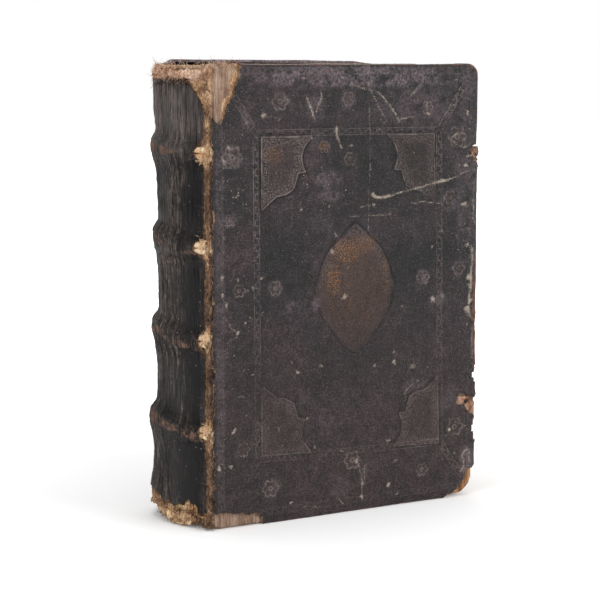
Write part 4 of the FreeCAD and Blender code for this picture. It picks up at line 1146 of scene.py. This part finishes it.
def spine_skin():
    """The plan path times the height, with bands, creases, worn bands and ragged free edges."""
    plan, outward, run = spine_path(0.0, 0.46)
    run, height = np.meshgrid(run, np.arange(0.3, TOP - 0.2, 1.05))
    reach = run.max()
    bands = band_shape(run, height)
    gaps = band_gaps(run, height)
    fade = ramp(np.abs(run), reach - 7.0, reach - 13.0)
    wrinkle = 1 - np.abs(value_noise(run, height * 0.028 + 9, 1.25, 70))
    fine = 1 - np.abs(value_noise(run + 0.7 * np.sin(height / 23), height * 0.05, 0.8, 71))
    crease = (0.65 * wrinkle**2 + 0.35 * fine**2) * ramp(rough(run, height * 0.25, 13.0, 73), -1.2, 0.4)
    proud = 4.2 * bands * (0.35 + 0.65 * fade) * (1 + 0.12 * rough(run, height, 9.0, 91))
    proud += spine_flare(run, height, reach)
    proud += 1.25 * (crease - 0.6) + 0.4 * rough(run, height, 16.0, 75) + 0.14 * rough(run, height, 2.0, 77)
    under_band = sum(bell(gap + 8.5, 3.0) for gap in gaps) * ramp(run, -8, -20)
    proud -= 0.9 * under_band * ramp(rough(run, height, 7.0, 79), -0.4, 0.7)
    proud += 0.5 * sum(bell(gap + 3.5, 3.0) for gap in gaps) * rough(run, height, 2.6, 95)
    proud = np.where(run < 28 - reach, np.maximum(proud, -0.7), proud)
    proud = np.maximum(proud, 3.0 * over_cords(height, 6.2, 6) * fade)

    front_edge = run + reach - front_loss(height) - 1.1 * rough(height, 0 * height, 9.0, 81)
    head_edge = 310.5 + 1.6 * rough(run, 0 * run, 4.0, 83) - height
    tail_edge = height - np.interp(run, TAIL_RUNS, TAIL_EDGE) - 1.3 * rough(run, 0 * run, 5.0, 85)
    edge = np.minimum(np.minimum(front_edge, head_edge), tail_edge) + 0.5 * rough(run, height, 2.2, 87)
    lower_face = sum(
        strength * bell(gap + drop, width) for gap, (drop, width, strength) in zip(gaps, BROWN_UNDER_BANDS)
    )
    lower_face = lower_face * ramp(run, 6 - reach, 16 - reach)
    lower_face = lower_face * ramp(rough(run, height, 6.0, 93), -0.7, 0.3)
    dark = 0.9 * bell(run + reach - 19, 8.0) * (1 - 0.55 * np.clip(bands, 0, 1))
    dark = dark * (1 - 0.6 * ramp(height, 262, 280))
    fields = {
        "crease": crease,
        "flesh": 0.8 * fading(edge, 1.2),
        "shade": dark,
        "bare": lower_face + 0.12 * bands + 0.3 * fading(edge, 2.5) + 0.15 * ramp(run, -8, 6),
    }
    points, normals = plan_points(plan, outward, proud, height + 0.4 * rough(run, height, 5.0, 89))
    over_hinge = ("text_block", "back_cover", ((JOINT, FACE, MIDDLE), (JOINT + 3, FACE, MIDDLE)))
    piece = torn_sheet(
        "spine_skin", points, normals, grid_faces(*run.shape, flip=True), edge > 0,
        np.ones(run.shape, bool), SKIN_THICKNESS, over_hinge, SPINE_LEATHER, fields, {"flesh": 1.0},
    )
    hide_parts("spine_leather")


spine_skin()


# %% [markdown]
# ### The worn joint
# Along the front joint the dark grain has rubbed off, and the tan flesh of the skin is left, like felt.
# The same felt shows in a roll round the head and in a band round the tail. All three are the plan path
# again, a little further in, with coarse noise, and short fibres stand on them afterwards.


# %% Felt of torn flesh
def felt_band(
    name, material, start, end, heights, offset, shape, seed, spacing, body="text_block", missing=None
):
    """A strip of the plan path, from start after its front end to end(reach): reach is half its length.
    shape(run, height, reach) says how proud it is, and missing(run, height) what is torn off."""
    plan, outward, run = spine_path(0.0, spacing[0])
    reach = run.max()
    chosen = (run > start - reach) & (run < end(reach))
    run, height = np.meshgrid(run[chosen], np.arange(*heights, spacing[1]))
    proud = offset + shape(run, height, reach)
    proud += 0.5 * rough(run, height, 3.2, seed) + 0.3 * rough(run, height, 1.2, seed + 5)
    z = height + 0.5 * rough(run, height, 2.4, seed + 9)
    points, normals = plan_points(plan[chosen], outward[chosen], proud, z)
    everywhere = np.ones(run.shape, bool)
    kept = ~missing(run, height) if missing else everywhere
    faces = grid_faces(*run.shape, flip=True)
    pale = {"pale": pale_field(run, height, reach)}
    torn_sheet(name, points, normals, faces, kept, everywhere, 1.5, body, material, pale, {})


def pale_field(run, height, reach):
    """Where the torn skin is tan: over the cords, at the head and at the tail. Between them it is brown."""
    ends = ramp(height, 262, 300) + 0.8 * ramp(height, 20, 11)
    # besides noise, a painted shade line darkens the crack between the tail's two folds
    uneven = 0.35 * rough(run, height, 7.0, 97) - 0.5 * bell(height - 11, 1.4)
    # painted shadow: darker at the bottom by the notch beside the joint
    uneven -= 0.6 * bell(run + 38, 7) * ramp(height, 9, 5) * ramp(height, 30, 20)
    tan = np.clip(over_cords(height, 11.0) + ends, 0, 1)
    # painted shade: less tan in the hollow beside the board
    return tan * 0.8 - 0.15 * ramp(run, -reach + 8, -reach + 2) + uneven


def strip_shape(run, height, reach):
    """Hollowed beside the board, swollen over the cords, and tucked under the spine skin's front edge."""
    edge = front_loss(height) + 1.5 - reach
    under = 1.6 * ramp(run, edge, edge + 4)
    swollen = 1.1 * over_cords(height, 5.5) * ramp(run, -reach + 4, -reach + 8)
    return swollen - 0.5 * ramp(run, -reach + 5, -reach + 2) - under


def fold(height, middle, half, thickness):
    """The round front of a fold of skin: a half ellipse over the height."""
    return thickness * np.sqrt(np.clip(1 - ((height - middle) / half) ** 2, 0, 1))


def head_shape(run, height, reach):
    """A fat roll of rotten skin at the head, lumpy along its length."""
    lumps = 1 + 0.35 * rough(run, 0 * run, 5.0, 115)
    roll = fold(height, 314.6, 5.4, 2.9) * lumps
    return roll + spine_flare(run, height, reach) + 0.5 * rough(run, height, 2.4, 117)


def tail_shape(run, height, reach):
    """Two folds, one over the other, with a crack between them and a lump beside the joint."""
    lump = bell(run + 27, 6.5, 4)
    folds = fold(height, 6.0, 6.5, 2.6) + fold(height, 14.5, 4.0, 2.0) * lump
    crack = 1.8 * bell(height - 11.0 - 1.2 * np.sin(run / 5), 0.8) * ramp(run, 4, -8)
    above = height - np.interp(run, TAIL_RUNS, TAIL_EDGE)
    under = 2.0 * ramp(above, -0.5, 1.5) * (1 - lump) + 3.0 * ramp(height, 17.2, 18.6) * lump
    return folds - crack - under + spine_flare(run, height, reach)


def tail_bottom(run, height):
    """The torn bottom rises on the far side, and a notch is out of it beside the joint."""
    uneven = 0.7 * rough(run, 0 * run, 3.0, 125)
    return height < 0.6 + 9.0 * ramp(run, -8, 8) + 4.5 * bell(run + 31, 5.0) + uneven


def head_top(run, height):
    """The roll's upper edge goes up and down like curls."""
    return height > 318.6 - 2.6 * ramp(rough(run, 0 * run, 4.5, 127), -0.7, 0.8) - 1.5 * bell(run + 8, 9)


over_hinge = ("text_block", "front_cover", ((JOINT - 1, -FACE, MIDDLE), (JOINT + 1.5, -FACE, MIDDLE)))
felt_band(
    "front_joint_felt", TORN_SKIN, 0.1, lambda reach: 25 - reach, (1.5, 318.5), -1.0, strip_shape, 101,
    (0.7, 0.9), over_hinge,
)
felt_band(
    "head_felt", HEAD_FIBRE, 5, lambda reach: reach - 6, (307.5, 319.4), -1.6, head_shape, 111,
    (0.55, 0.5), missing=head_top,
)
felt_band(
    "tail_felt", TAIL_SKIN, 4, lambda reach: reach - 6, (0.4, 24.0), -1.4, tail_shape, 121,
    (0.55, 0.5), missing=tail_bottom,
)

# %% [markdown]
# ### Fibres
# Torn skin and cut cord end in hundreds of short fibres. Each is a thin tube with four sides along a
# bent path, and all of a tuft's fibres are worked out together as one array.


# %% Tufts
def unit(ways):
    """Ways of length one."""
    return ways / np.maximum(np.linalg.norm(ways, axis=-1, keepdims=True), 1e-9)


def strands(name, roots, ways, lengths, radius, material, body, seed, wild=0.5):
    """Tubes from each root along its way, each bent by its own random turn. Rings of four points shrink to
    the tip, and a face closes each end."""
    random = np.random.default_rng(seed)
    count = len(roots)
    rings = 5
    t = np.linspace(0, 1, rings)[None, :, None]
    turn = random.normal(0, wild, (count, 1, 3)) - [0, 0, 0.25]
    second = random.normal(0, wild * 0.5, (count, 1, 3))
    bent = unit(ways)[:, None] * t + turn * t**2 + second * np.sin(t * 5) * t
    path = roots[:, None] + lengths[:, None, None] * bent
    way = unit(np.gradient(path, axis=1))
    first = unit(np.cross(way, [0.31, 0.52, 0.79]))
    other = np.cross(way, first)
    size = radius * random.uniform(0.6, 1.3, (count, 1, 1)) * (1 - 0.6 * t)
    across = (first * size, other * size, -first * size, -other * size)
    ring = np.stack([path + way for way in across], axis=2)
    base = (np.arange(count)[:, None, None] * rings + np.arange(rings - 1)[None, :, None]) * 4
    k = np.arange(4)[None, None, :]
    after = (k + 1) % 4
    walls = np.stack([base + k, base + after, base + 4 + after, base + 4 + k], axis=-1).reshape(-1, 4)
    tips = (np.arange(count) * rings * 4)[:, None]
    ends = np.concatenate([tips + [3, 2, 1, 0], tips + (rings - 1) * 4 + [0, 1, 2, 3]])
    new_piece(name, ring.reshape(-1, 3), np.concatenate([walls, ends]), body, material)


def spine_fibres(
    name, count, shares, heights, offset, out, spread, lean, lengths, radius, material, seed, wild=0.5
):
    """Fibres on the spine's plan, between two shares of the run from 0, front, to 1, back, and two heights.
    They point out by a random amount or a set one, and lean(height) is added to their way."""
    plan, outward, run = spine_path(offset, 0.5)
    share = random.uniform(*shares, count)
    height = random.uniform(*heights, count)
    index = np.clip((share * (len(run) - 1)).astype(int), 0, len(run) - 1)
    roots = np.column_stack([plan[index], height])
    proud = random.uniform(*out, (count, 1)) if isinstance(out, tuple) else out
    ways = np.column_stack([outward[index], 0 * height]) * proud + random.normal(0, spread, (count, 3))
    lengths = random.uniform(*lengths, count)
    strands(name, roots, ways + lean(height), lengths, radius, material, "text_block", seed, wild)


def curled(height):
    """Up above the roll's front and down below it."""
    return np.column_stack([0 * height, 0 * height, np.where(height > 316.5, 0.3, -0.4)])


def leaning(*way):
    """The same lean at each height."""
    return lambda height: np.array(way)


random = np.random.default_rng(5)
spine_fibres(
    "head_fibres", 1300, (0.04, 0.93), (309.5, 319.4), 0.2, (0.2, 1.0), 0.7, curled,
    (0.9, 2.7), 0.19, HEAD_FIBRE, 6, wild=0.8,
)
# torn fibres below the head roll, coloured near black as the painted shadow beneath it
spine_fibres(
    "head_shadow_fibres", 420, (0.22, 0.9), (307.0, 311.0), -0.3, 0.35, 0.5, leaning(0, 0, -0.6),
    (1.5, 4.0), 0.17, SHADOW_FIBRE, 7,
)
spine_fibres(
    "tail_fibres", 620, (0.03, 0.75), (1.5, 11.0), -0.6, (0.2, 0.9), 0.6, leaning(0, 0, 0),
    (1.0, 2.6), 0.16, TAIL_SKIN, 8,
)
spine_fibres(
    "joint_fibres", 760, (0.03, 0.11), (10, 306), -0.8, (0.1, 0.6), 0.5, leaning(-0.35, 0, 0),
    (1.0, 3.2), 0.13, TORN_SKIN, 9,
)
count = 240
along = random.uniform(0.5, 23, count)
deep = random.uniform(2, 5, count)
roots = np.column_stack([JOINT + along, deep - FACE, 319.2 - random.uniform(0, 1.5, count)])
ways = random.normal(0, 0.6, (count, 3)) + [0, -0.2, 0.25]
lengths = random.uniform(1.5, 4.0, count)
strands("board_head_fibres", roots, ways, lengths, 0.17, HEAD_FIBRE, "front_cover", 10)

# %% [markdown]
# ### Sewing cords
# The leaves are sewn round double cords of hemp, which make the raised bands. They end at the joint,
# where the skin has worn through and the cord has frayed into a pale brush. A cord is a tube along the
# plan path, and its twist is a ridge that turns round the tube.


# %% Cords and tufts
def cord_tube(path, radius, strands_in_cord, pitch, sides=14):
    """A twisted tube: rings across the path, whose radius rises and falls round the turning strands."""
    way = unit(np.gradient(path, axis=0))
    first = unit(np.cross(way, [0, 0, 1.0]))
    other = np.cross(way, first)
    run = np.concatenate([[0], np.cumsum(np.linalg.norm(np.diff(path, axis=0), axis=1))])
    angle = np.linspace(0, 2 * np.pi, sides, endpoint=False)[None, :]
    lobe = np.abs(np.sin((angle + 2 * np.pi * run[:, None] / pitch) * strands_in_cord / 2))
    across = np.cos(angle)[..., None] * first[:, None] + np.sin(angle)[..., None] * other[:, None]
    ring = path[:, None] + (radius * (0.84 + 0.16 * lobe))[..., None] * across
    rows = np.arange(len(path) - 1)[:, None] * sides
    k = np.arange(sides)[None, :]
    after = (k + 1) % sides
    walls = np.stack([rows + k, rows + after, rows + sides + after, rows + sides + k], axis=-1)
    walls = walls.reshape(-1, 4)
    i = np.arange(sides // 2 - 1)
    cap = np.stack([i, i + 1, sides - 2 - i, sides - 1 - i], axis=1)
    return ring.reshape(-1, 3), np.concatenate([walls, cap[:, ::-1], cap + (len(path) - 1) * sides])


def arc_path(radius, height, count, past=0.0):
    """Points round the spine at one height, past the shoulders by so many radians."""
    angles = np.linspace(-ARC_END - past, ARC_END + past, count)
    x = SPINE_CENTRE - radius * np.cos(angles)
    return np.column_stack([x, radius * np.sin(angles), np.full(count, height)])


CORD_RADIUS = 2.25
CORD_SPREAD = 2.35


def sewing_cord(index, middle):
    """Two cords side by side round the spine, as one piece."""
    meshes = []
    for height in (middle - CORD_SPREAD, middle + CORD_SPREAD):
        path = arc_path(SPINE_RADIUS + 2.5, height, 70, 0.05)
        end = np.array([[JOINT - 1.4, -FACE + 4.5, height]])
        meshes.append(cord_tube(np.concatenate([end, path, end * [1, -1, 1]]), CORD_RADIUS, 3, 11.0))
    (points, faces), (more_points, more_faces) = meshes
    points = np.concatenate([points, more_points])
    faces = np.concatenate([faces, more_faces + len(more_points)])
    piece = new_piece(f"sewing_cord_{index}", points, faces, "text_block", CORD)
    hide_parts(f"sewing_support_{index}")


# How far each tuft lies back from the joint, in from the face and over its band's middle, and its spread
TUFTS = ((2.0, 2.4, 3.9, 1.0), (2.0, 2.4, 3.9, 1.0), (3.0, 6.0, 3.3, 2.0), (2.8, 5.4, -2.8, 1.9))
for index, middle in enumerate(BAND_HEIGHTS, start=1):
    sewing_cord(index, middle)
    random = np.random.default_rng(200 + index)
    count = 170
    back, inward, rise, spread = TUFTS[index - 1]
    places = zip((JOINT - back, -FACE + inward, middle + rise), (0.7, spread, 1.3))
    roots = np.column_stack([place + random.normal(0, size, count) for place, size in places])
    ways = np.array([-0.75, -0.55, 0.0]) + random.normal(0, 0.55, (count, 3))
    lengths = random.uniform(1.0, 2.6, count)
    strands(f"cord_tuft_{index}", roots, ways, lengths, 0.2, CORD, "text_block", 300 + index)

# %% [markdown]
# ## Leaves
# A text block is hundreds of leaves that were trimmed once and have crept since. The block is a box in
# three parameters: one from the round spine to the hollow fore edge, one through the thickness and one
# up. Each leaf gets its own small height at head, tail and fore edge, and the sewn sections make a
# slower wave.


# %% Text block
FORE_HOLLOW = 7.0


def block_points(a, b, c):
    """a from 0, spine, to 1, fore edge, b from -1 to 1 through the thickness, c from 0 to 1 up."""
    y = b * HALF_TEXT
    back = SPINE_CENTRE - np.sqrt(SPINE_RADIUS**2 - y**2)
    fore = LEAF_FORE - FORE_HOLLOW * (1 - b**2)
    x = back + (fore - back) * a
    z = LEAF_LOW + (LEAF_TOP - LEAF_LOW) * c
    leaf_fore = 0.16 * value_noise(y, z * 0.004, 0.36, 141) + 0.3 * rough(y, z * 0.02, 4.6, 143)
    leaf_end = 0.14 * value_noise(y, x * 0.004, 0.36, 145) + 0.25 * rough(y, x * 0.02, 4.6, 147)
    x = x + np.where(a > 0.999, leaf_fore - 0.3, 0)
    z = z + np.where(c > 0.999, leaf_end - 0.25, 0) - np.where(c < 0.001, leaf_end - 0.25, 0)
    return np.stack([x, y, z], axis=-1)


def text_leaves():
    """Six grids on the faces of the box, merged along their shared edges."""
    a = np.linspace(0, 1, 44)
    b = np.linspace(-1, 1, 168)
    c = np.linspace(0, 1, 60)
    sides = (
        (a, c, lambda s, t: (s, -1 + 0 * s, t), False),
        (a, c, lambda s, t: (s, 1 + 0 * s, t), True),
        (b, c, lambda s, t: (1 + 0 * s, s, t), False),
        (b, c, lambda s, t: (0 * s, s, t), True),
        (a, b, lambda s, t: (s, t, 1 + 0 * s), False),
        (a, b, lambda s, t: (s, t, 0 * s), True),
    )
    points = []
    faces = []
    for first, second, place, flip in sides:
        s, t = np.meshgrid(first, second)
        faces.append(grid_faces(*s.shape, flip) + sum(len(p) for p in points))
        points.append(block_points(*place(s, t)).reshape(-1, 3))
    points = np.concatenate(points)
    rounded = np.round(points * 500).astype(int)
    _, first_of, merged = np.unique(rounded, axis=0, return_index=True, return_inverse=True)
    return points[first_of], merged.ravel()[np.concatenate(faces)]


def paper_edges(name):
    """Page edges: paper seen end on. Lines a leaf apart run along the block, dusty and foxed."""
    material, shader, mm, _ = new_material(name)
    leaf = noise(vectors("MULTIPLY", mm, (0.012, 1, 0.012)), 1.5, 5, 0.7)
    mixed = noise(mm, 0.035, 6, 0.65) * 0.5 + -0.25 + leaf
    colour = three_colours(mixed, ("#765f45", "#ad9570", "#cebb97"), 0.3, 0.72)
    finish(shader, colour, 0.9, 0.5, leaf, 0.2, 0.6)
    return material


PAGE_EDGES = paper_edges("rag_paper_edges")
points, faces = text_leaves()
leaves = new_piece("text_leaves", points, faces, "text_block", PAGE_EDGES)
leaves.data.materials.append(PAPER)
corners = points[faces]
across = np.cross(corners[:, 2] - corners[:, 0], corners[:, 3] - corners[:, 1])
outer_leaf = np.abs(across[:, 1]) > 0.85 * np.linalg.norm(across, axis=1)
leaves.data.polygons.foreach_set("material_index", outer_leaf.astype(np.int32))
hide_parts("text_block")

# %% [markdown]
# ## Endbands
# A core is laid across the spine's edge at head and tail and wrapped in thread, which ties the leaves'
# ends together. It is the cord again, with many thin turns.

# %% Endband cores
for name, height in (("head_endband", LEAF_TOP + 2.25), ("tail_endband", LEAF_LOW - 2.25)):
    points, faces = cord_tube(arc_path(SPINE_RADIUS - 2.2, height, 260), 2.15, 2, 2.4, 16)
    band = new_piece(name + "_threads", points, faces, "text_block", THREAD)
    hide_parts(name)

# %% [markdown]
# ## Inside the covers
# The skin is turned in over the board's edges and pasted down, mitred at the corners, and a sheet of
# paper covers the rest. The turn-in runs round three sides as a strip between an outer and an inner
# outline, and its inner edge was cut by eye.


# %% Turn-ins and pastedowns
TURN_IN = 18.6
TURN_IN_EDGE = 0.9
BROKEN_CORNER_WAY = np.array([0.68, -0.73])
BROKEN_CORNER_DEPTH = 12.5


def turn_in(name, side, body):
    """A strip between two outlines: t from 0 at the board's edge to 1 at the knife cut."""
    start = JOINT + 0.5
    knots = np.array([0, 90, 230, 320]) / 320
    s, t = np.meshgrid(np.linspace(0, 1, 321), np.linspace(0, 1, 12))

    def outline(inset):
        """Places round head, fore edge and tail, so far in from the edge."""
        corners = ((start, inset), (FORE - inset, inset), (FORE - inset, TOP - inset), (start, TOP - inset))
        return np.stack([np.interp(s, knots, along) for along in zip(*corners)], axis=-1)

    outside = outline(TURN_IN_EDGE)
    share = t * (1 + 0.06 * rough(s * 320, 0 * s, 22.0, 151))
    flat = outside + (outline(TURN_IN_EDGE + TURN_IN) - outside) * share[..., None]
    if side < 0:
        beyond = (flat - [FORE, 0.0]) @ BROKEN_CORNER_WAY + BROKEN_CORNER_DEPTH
        beyond = np.maximum(beyond + 0.8 * rough(s * 320, t * 18, 4.0, 157), 0)
        flat = flat - beyond[..., None] * BROKEN_CORNER_WAY
    behind = INNER_FACE + 0.02 + 0.12 * rough(flat[..., 0], flat[..., 1], 14.0, 153) * t
    behind += 0.75 * ramp(t, 0.93, 1.0) + 0.6 * (1 - ramp(t, 0, 0.06))
    points = np.stack([flat[..., 0], side * behind, flat[..., 1]], axis=-1).reshape(-1, 3)
    plain = {"bare": 0.15, "flesh": 0.5 * ramp(t, 0.9, 1.0), "crease": 0.0, "shade": 0.0}
    plain = {key: np.broadcast_to(value, s.shape).ravel() for key, value in plain.items()}
    piece = new_piece(name, points, grid_faces(*s.shape, flip=side < 0), body, SPINE_LEATHER, plain)


def pastedown(name, node, side, body):
    """A sheet of paper with a slow wave, its edges just over the turn-ins."""
    inset = 17.5
    x, z = np.meshgrid(np.linspace(JOINT + 0.5, FORE - inset, 90), np.linspace(inset, TOP - inset, 120))
    behind = INNER_FACE - 0.1 + 0.1 * rough(x, z, 40.0, 161) + 0.04 * rough(x, z, 6.0, 163)
    points = np.stack([x, side * behind, z], axis=-1).reshape(-1, 3)
    piece = new_piece(name, points, grid_faces(*x.shape, flip=side < 0), body, PAPER)
    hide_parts(node)


for word, side in (("front", -1), ("back", 1)):
    turn_in(f"{word}_turn_ins", side, f"{word}_cover")
for word, side in (("front", -1), ("back", 1)):
    pastedown(f"{word}_pastedown_paper", f"{word}_pastedown", side, f"{word}_cover")

# %% [markdown]
# ## Clasp straps
# Two straps once closed the book. Only their stubs are left in their beds at the fore edge, cracked
# across and worn to the tan flesh, with the small nails that held them.


# %% Strap stubs
def strap_stub(name, node, material, seed):
    """A thick scrap of leather in its bed: a rounded slab whose free end is torn in fingers."""
    low, high = box_in_mm(node)
    s, t = np.meshgrid(np.linspace(0, 1, 40), np.linspace(0, 1, 34))
    end = high[0] + 0.4 + rough(t * 17, 0 * t, 3.0, seed)
    x = low[0] + (end - low[0]) * s
    z = low[2] + (high[2] - low[2]) * (t + 0.04 * rough(s * 16, t * 2, 5.0, seed + 2))
    hill = np.minimum(ramp(s, 0, 0.06), ramp(1 - s, 0, 0.08))
    hill = np.minimum(hill, np.minimum(ramp(t, 0, 0.06), ramp(1 - t, 0, 0.06)))
    y = low[1] + 0.1 + (1 - hill) * 0.7
    y += 0.5 * rough(x, z, 5.0, seed + 3) + 0.25 * rough(x, z, 1.6, seed + 4)
    front = np.stack([x, y, z], axis=-1)
    back = np.stack([x, np.full(x.shape, high[1]), z], axis=-1)
    number = np.arange(s.size).reshape(s.shape)
    ring = np.concatenate([number[0], number[1:, -1], number[-1, -2::-1], number[-2:0:-1, 0]])
    after = np.roll(ring, -1)
    walls = np.stack([after, ring, ring + s.size, after + s.size], axis=1)
    faces = grid_faces(*s.shape)
    points = np.concatenate([front.reshape(-1, 3), back.reshape(-1, 3)])
    faces = np.concatenate([faces, faces[:, ::-1] + s.size, walls])
    piece = new_piece(name, points, faces, "front_cover", material)
    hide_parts(node)


STRAP_BARE = fibre_finish("bare_strap_leather", ("#4a3026", "#94705c", "#c09b84"), EVEN, 0.35, 0.6)
STRAP_DARK = fibre_finish("dark_strap_leather", ("#3a2b25", "#94735f", "#cfab93"), EVEN, 0.4, 0.6)
strap_stub("lower_strap_scrap", "lower_strap_stub", STRAP_BARE, 171)
strap_stub("upper_strap_scrap", "upper_strap_stub", STRAP_DARK, 181)

# %% [markdown]
# ### What stays as the CAD made it
# The pegs, slips, linings, nails and the hidden back board keep their solids and get real finishes.

# %% Finishes for the CAD nodes
RUST = fibre_finish("rusted_iron_nail", ("#1d1816", "#3b2d26", "#5c4334"), EVEN, 1.2, 0.2, 0.7)
RUST.node_tree.nodes["Principled BSDF"].inputs["Metallic"].default_value = 0.5
carried = {"back_board": OAK, "front_pegs": OAK, "back_pegs": OAK, "strap_nails": RUST}
carried.update({f"spine_lining_{i}": PARCHMENT for i in range(1, 6)})
carried.update({f"{side}_slip_{i}": CORD for side in ("front", "back") for i in range(1, 5)})
for node, material in carried.items():
    for slot in bpy.data.objects[node].material_slots:
        slot.material = material
print("finished", len(carried), "CAD nodes")

# %% [markdown]
# ## Floor, light and camera
# The book stands on a pale studio floor under large soft lamps: one in front to the right, a weaker one
# to the left for the spine, and one above. The camera is where the photographer's was, worked out from
# the corners of the front cover and the raised bands.

# %% Studio
WHITE = (1, 1, 1, 1)
floor_mesh = bpy.data.meshes.new("studio_floor")
floor_mesh.from_pydata([(-6, -6, 0), (6, -6, 0), (6, 6, 0), (-6, 6, 0)], [], [(0, 1, 2, 3)])
floor = bpy.data.objects.new("studio_floor", floor_mesh)
bpy.context.scene.collection.objects.link(floor)
floor_paint, shader, mm, _ = new_material("white_floor_paint")
floor_mesh.materials.append(floor_paint)
away = derive("VectorMath", {0: mm}, "Value", operation="LENGTH")
seen = Value(add_node(floor_paint.node_tree, "LightPath").outputs["Is Camera Ray"])
glow = stretch(away, 150, 800, 0.1, 1.0, smooth=True) * seen
set_inputs(shader, {"Base Color": "#f4f4f4", "Roughness": 0.8, "Specular IOR Level": 0.1})
set_inputs(shader, {"Emission Strength": glow, "Emission Color": WHITE})

world = bpy.data.worlds.new("studio")
bpy.context.scene.world = world
world.use_nodes = True
tree = world.node_tree
tree.nodes.clear()
seen = Value(add_node(tree, "LightPath").outputs["Is Camera Ray"])
bright = Value(add_node(tree, "Background", {"Color": WHITE, "Strength": 1.0}).outputs[0])
dim = Value(add_node(tree, "Background", {"Color": WHITE, "Strength": 0.55}).outputs[0])
add_node(tree, "OutputWorld", {"Surface": derive("MixShader", {0: seen, 1: dim, 2: bright})})


def lamp(name, place, target, size, power):
    """A square area lamp at a place, turned to face a target, in metres and watts."""
    data = bpy.data.lights.new(name, "AREA")
    data.size = size
    data.energy = power
    item = bpy.data.objects.new(name, data)
    item.location = place
    item.rotation_euler = Vector(np.subtract(target, place)).to_track_quat("-Z", "Y").to_euler()
    bpy.context.scene.collection.objects.link(item)


lamp("front_right_softbox", (1.1, -1.5, 1.2), (0, 0, 0.16), 1.1, 22)
lamp("left_softbox", (-1.6, -0.5, 0.8), (0, 0, 0.16), 0.9, 9)
lamp("overhead_softbox", (0.0, 0.2, 1.9), (0, 0, 0.0), 1.4, 16)

# %% Camera
camera_data = bpy.data.cameras.new("camera")
camera_data.lens = 98.69
camera_data.sensor_width = 36
camera = bpy.data.objects.new("camera", camera_data)
right = (0.88386899, -0.46773196, 0.00155485)
up = (0.06510952, 0.12632739, 0.98984955)
back = (-0.46318069, -0.87479609, 0.14211067)
place = (-0.558862, -1.042755, 0.319780)
camera.matrix_world = Matrix([[right[k], up[k], back[k], place[k]] for k in range(3)] + [[0, 0, 0, 1]])
bpy.context.scene.collection.objects.link(camera)
bpy.context.scene.camera = camera
bpy.context.scene.view_settings.view_transform = "Standard"
